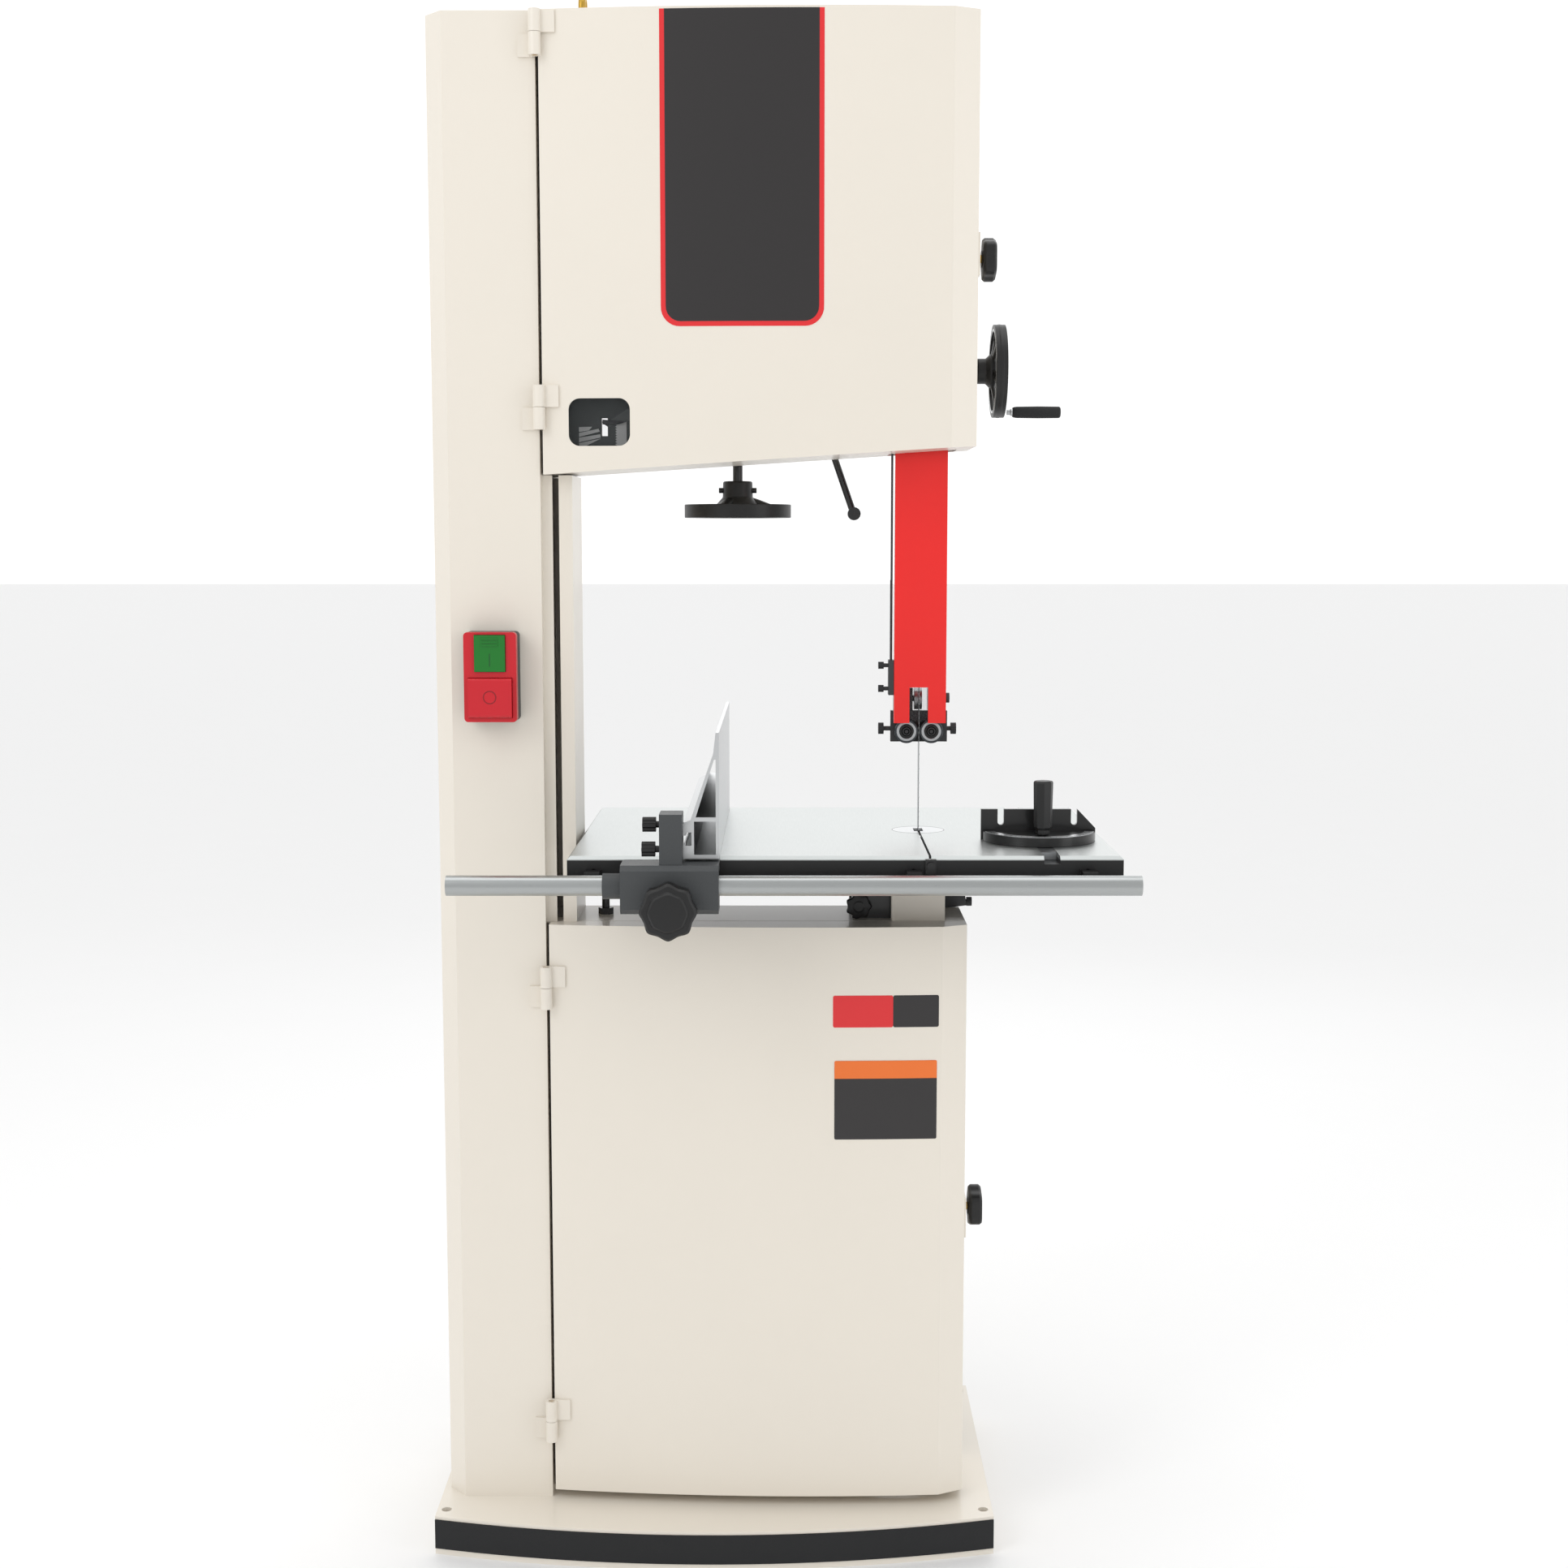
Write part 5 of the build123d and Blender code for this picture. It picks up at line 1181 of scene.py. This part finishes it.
@dataclass
class GuardPane:
    """Smoked pane behind the notch of the blade guard, in millimetres from the blade."""

    x: tuple[float, float] = (-17.0, 13.0)
    y: tuple[float, float] = (-30.2, -29.0)
    z: tuple[float, float] = (1060.0, 1106.0)

    def build(self, paints: Paints) -> None:
        """Make the pane as a thin closed slab.

        Args:
            paints: Materials already built.
        """
        x, z = np.meshgrid(np.linspace(*self.x, 3), np.linspace(*self.z, 3), indexing="ij")
        front = np.stack([x, np.full_like(x, self.y[0]), z], axis=-1)
        back = np.stack([x, np.full_like(x, self.y[1]), z], axis=-1)
        skin = Skin()
        slab(skin, from_blade(front), from_blade(back))
        attach(skin.piece("guard_pane", paints.get(PANE), 30), "guide_post", "clear_window")


# ---------------------------------------------------------------- small fittings


@dataclass
class MitreTrim:
    """Silver degree arc on the mitre head and the grip over its lock stem."""

    centre: tuple[float, float, float] = (147.0, -95.0, 927.05)
    inner: float = 57.5
    outer: float = 69.5
    marks: int = 25

    def sector(self, skin: Skin, inner: float, outer: float, start: float, end: float, low: float, high: float
               ) -> None:
        """Lay a flat piece of a ring.

        A point at angle t and radius r stands r times its cosine across and r times its sine back.

        Args:
            skin: Skin that takes it.
            inner: Inner radius.
            outer: Outer radius.
            start: First angle, in degrees.
            end: Last angle.
            low: Underside over the centre's height.
            high: Top over the centre's height.
        """
        t, r = np.meshgrid(np.radians(np.linspace(start, end, 40 if end - start > 20 else 3)),
                           np.linspace(inner, outer, 3), indexing="ij")
        x0, y0, z0 = self.centre
        flat = np.stack([x0 + r * np.cos(t), y0 + r * np.sin(t), np.zeros_like(r)], axis=-1)
        slab(skin, from_blade(flat + np.array([0, 0, z0 + high])), from_blade(flat + np.array([0, 0, z0 + low])))

    def build(self, paints: Paints) -> None:
        """Make the arc, its degree marks and the eight-sided grip.

        Args:
            paints: Materials already built.
        """
        skin = Skin()
        self.sector(skin, self.inner, self.outer, -172, -8, -0.4, 0.25)
        attach(skin.piece("mitre_scale_arc", paints.get(SILVER_SCALE), 30), "mitre_head", "machined_steel")
        skin = Skin()
        for number in range(self.marks):
            angle = -165 + 150 / (self.marks - 1) * number
            reach = 5.5 if number % 6 == 0 else 3.2
            self.sector(skin, self.outer - 1 - reach, self.outer - 1, angle - 0.25, angle + 0.25, 0.2, 0.4)
        attach(skin.piece("mitre_scale_marks", paints.get(BLACK_ENAMEL), 30), "mitre_head", "black_enamel")
        low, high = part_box("mitre_handle")
        centre = np.array([(low[0] + high[0]) / 2, (low[1] + high[1]) / 2, low[2]])
        length, radius = (high[2] - low[2]) / MM, (high[0] - low[0]) / 2 / MM
        grip = [(0.0, 0.0), (4.9, 0.0), (4.9, 11.0), (radius - 3.5, 11.6), (radius - 3.2, 18.0), (radius - 1.2, 21.0),
                (radius - 0.2, length - 2.0), (radius - 1.6, length), (0.0, length)]
        piece = turn("mitre_grip", paints.get(BLACK_PLASTIC), grip, centre, (0.0, 0.0, 1.0), 0.8, 96, flats=8)
        attach(piece, "mitre_handle", "black_plastic", "mitre_handle")


@dataclass
class TableTrim:
    """Dark joint round the table insert, in millimetres from the blade."""

    radius: float = 34.0
    top: float = 915.0

    def build(self, paints: Paints) -> None:
        """Make the joint as a thin oval ring let into the top.

        Args:
            paints: Materials already built.
        """
        skin = Skin()
        centre = from_blade(np.array([0.0, 0.0, self.top - 0.3]))
        skin.grid(oval_ring(self.radius * MM, 0.0007, 0.00045, tuple(centre), (0.0, 0.0, 1.0)), True, True)
        attach(skin.piece("insert_joint", paints.get(BLACK_ENAMEL)), "table", "black_enamel")


@dataclass
class LeverGrip:
    """Round rubber grip at the end of the release lever; its size is the node's lower end."""

    tip: tuple[float, float] = (-84.0, 1327.0)
    radius: float = 9.0

    def build(self, paints: Paints) -> None:
        """Make the ball-ended sleeve round the lever's tip.

        Args:
            paints: Materials already built.
        """
        low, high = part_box("release_lever")
        front = (low[1] - BLADE_Y) / MM
        centre = from_blade(np.array([self.tip[0], front + 0.4, self.tip[1]]))
        cap = [(0.0, 0.0), (self.radius - 1.4, 0.0), (self.radius - 1.0, -1.2), (self.radius - 1.0, -6.0),
               (0.0, -6.0)]
        LOG.info("lever front at %.1f, back at %.1f", front, (high[1] - BLADE_Y) / MM)
        attach(turn("lever_cap", paints.get(RUBBER), cap, centre, (0.0, -1.0, 0.0), 0.5), "release_lever",
               "black_enamel")


@dataclass
class TensionSpring:
    """Helical spring of the tension screw, in place of its sleeve."""

    wire: float = 2.3
    coil: float = 13.0
    turns: float = 11.0
    foot: float = 1503.4
    lift: float = 96.0

    def build(self, paints: Paints) -> None:
        """Carry a round wire up a helix.

        At share t the wire's middle stands at the coil radius, turned by t times the turns, and has
        risen by t times the lift, less near the ends, where the coils close.

        Args:
            paints: Materials already built.
        """
        share = np.linspace(0, 1, 700)
        turn_angle = 2 * np.pi * self.turns * share
        rise = self.lift * (share - 0.012 * np.sin(2 * np.pi * share))
        path = from_blade(np.stack([-237 + self.coil * np.cos(turn_angle), 75 + self.coil * np.sin(turn_angle),
                                    self.foot + rise], axis=-1))
        run = np.gradient(path, axis=0)
        run /= np.linalg.norm(run, axis=1, keepdims=True)
        side = np.cross(run, np.array([0.0, 0.0, 1.0]))
        side /= np.linalg.norm(side, axis=1, keepdims=True)
        up = np.cross(side, run)
        angle = np.linspace(0, 2 * np.pi, 14, endpoint=False)[None, :, None]
        size = (np.clip(np.minimum(share, 1 - share) * 300, 0, 1) * self.wire * MM)[:, None, None]
        skin = Skin()
        skin.grid(path[:, None] + size * (np.cos(angle) * side[:, None] + np.sin(angle) * up[:, None]), False, True)
        for low, high in ((1494.0, 1501.0), (1601.8, 1604.0)):
            seat = np.array([(8.8, low), (17.4, low), (18.0, low + 0.6), (18.0, high - 0.6), (17.4, high),
                             (8.8, high)])
            skin.grid(turned(seat * MM, tuple(from_blade(np.array([-237.0, 75.0, 0.0]))), (0.0, 0.0, 1.0)), True,
                      True)
        attach(skin.piece("tension_coil", paints.get(STEEL), 40), "wheel_carriage", "machined_steel",
               "tension_spring")


@dataclass
class SwitchTrim:
    """Engraved marks of the switch, each a darker tone of its part as painted shade of the groove: a plain bar on the
    start button and a plain ring on the stop paddle.
    """

    middle_x: float = -538.5

    def build(self, paints: Paints) -> None:
        """Make the start bar and the stop ring as shallow lines, darker than their parts as painted groove shade.

        Args:
            paints: Materials already built.
        """
        button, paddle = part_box("start_button")[0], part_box("stop_paddle")[0]
        scale = TensionScale(plate_y=(button[1] - BLADE_Y) / MM + 1.0, rise=0.12)
        skin = Skin()
        scale.patch(skin, [(self.middle_x - 0.7, 1138), (self.middle_x + 0.7, 1138), (self.middle_x + 0.7, 1154),
                           (self.middle_x - 0.7, 1154)])
        attach(skin.piece("start_mark", paints.get(GREEN_GROOVE_SHADE), 30), "start_button", "switch_green")
        skin = Skin()
        centre = from_blade(np.array([self.middle_x, 0.0, 1100.0]))
        centre[1] = paddle[1] + 0.0002
        skin.grid(oval_ring(0.0078, 0.0007, 0.0004, tuple(centre), (0.0, -1.0, 0.0)), True, True)
        attach(skin.piece("stop_mark", paints.get(RED_GROOVE_SHADE)), "stop_paddle", "switch_red")


# ---------------------------------------------------------------- main


def dress_nodes(paints: Paints) -> None:
    """Give each CAD node its finish.

    Args:
        paints: Materials already built.
    """
    for finish, names in NODE_FINISHES.items():
        for name in names:
            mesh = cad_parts[name].data
            mesh.materials.clear()
            mesh.materials.append(paints.get(finish))
            LOG.info("%s wears %s", name, finish.name)
    bare = set(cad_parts) - {n for names in NODE_FINISHES.values() for n in names}
    LOG.info("nodes without a finish: %s", sorted(bare))


def main() -> None:
    """Build the studio, the finishes and the fine pieces, in order."""
    logging.basicConfig(level=logging.INFO, format="%(message)s")
    paints = Paints()
    Studio().build(paints)
    dress_nodes(paints)
    DoorFilms().build(paints)
    SawBand().build(paints)
    TensionScale().build(paints)
    GuideBearings().build(paints)
    HandWheels().build(paints)
    LobedKnobs().build(paints)
    GuardPane().build(paints)
    MitreTrim().build(paints)
    TableTrim().build(paints)
    LeverGrip().build(paints)
    TensionSpring().build(paints)
    SwitchTrim().build(paints)


if __name__ == "__main__":
    main()
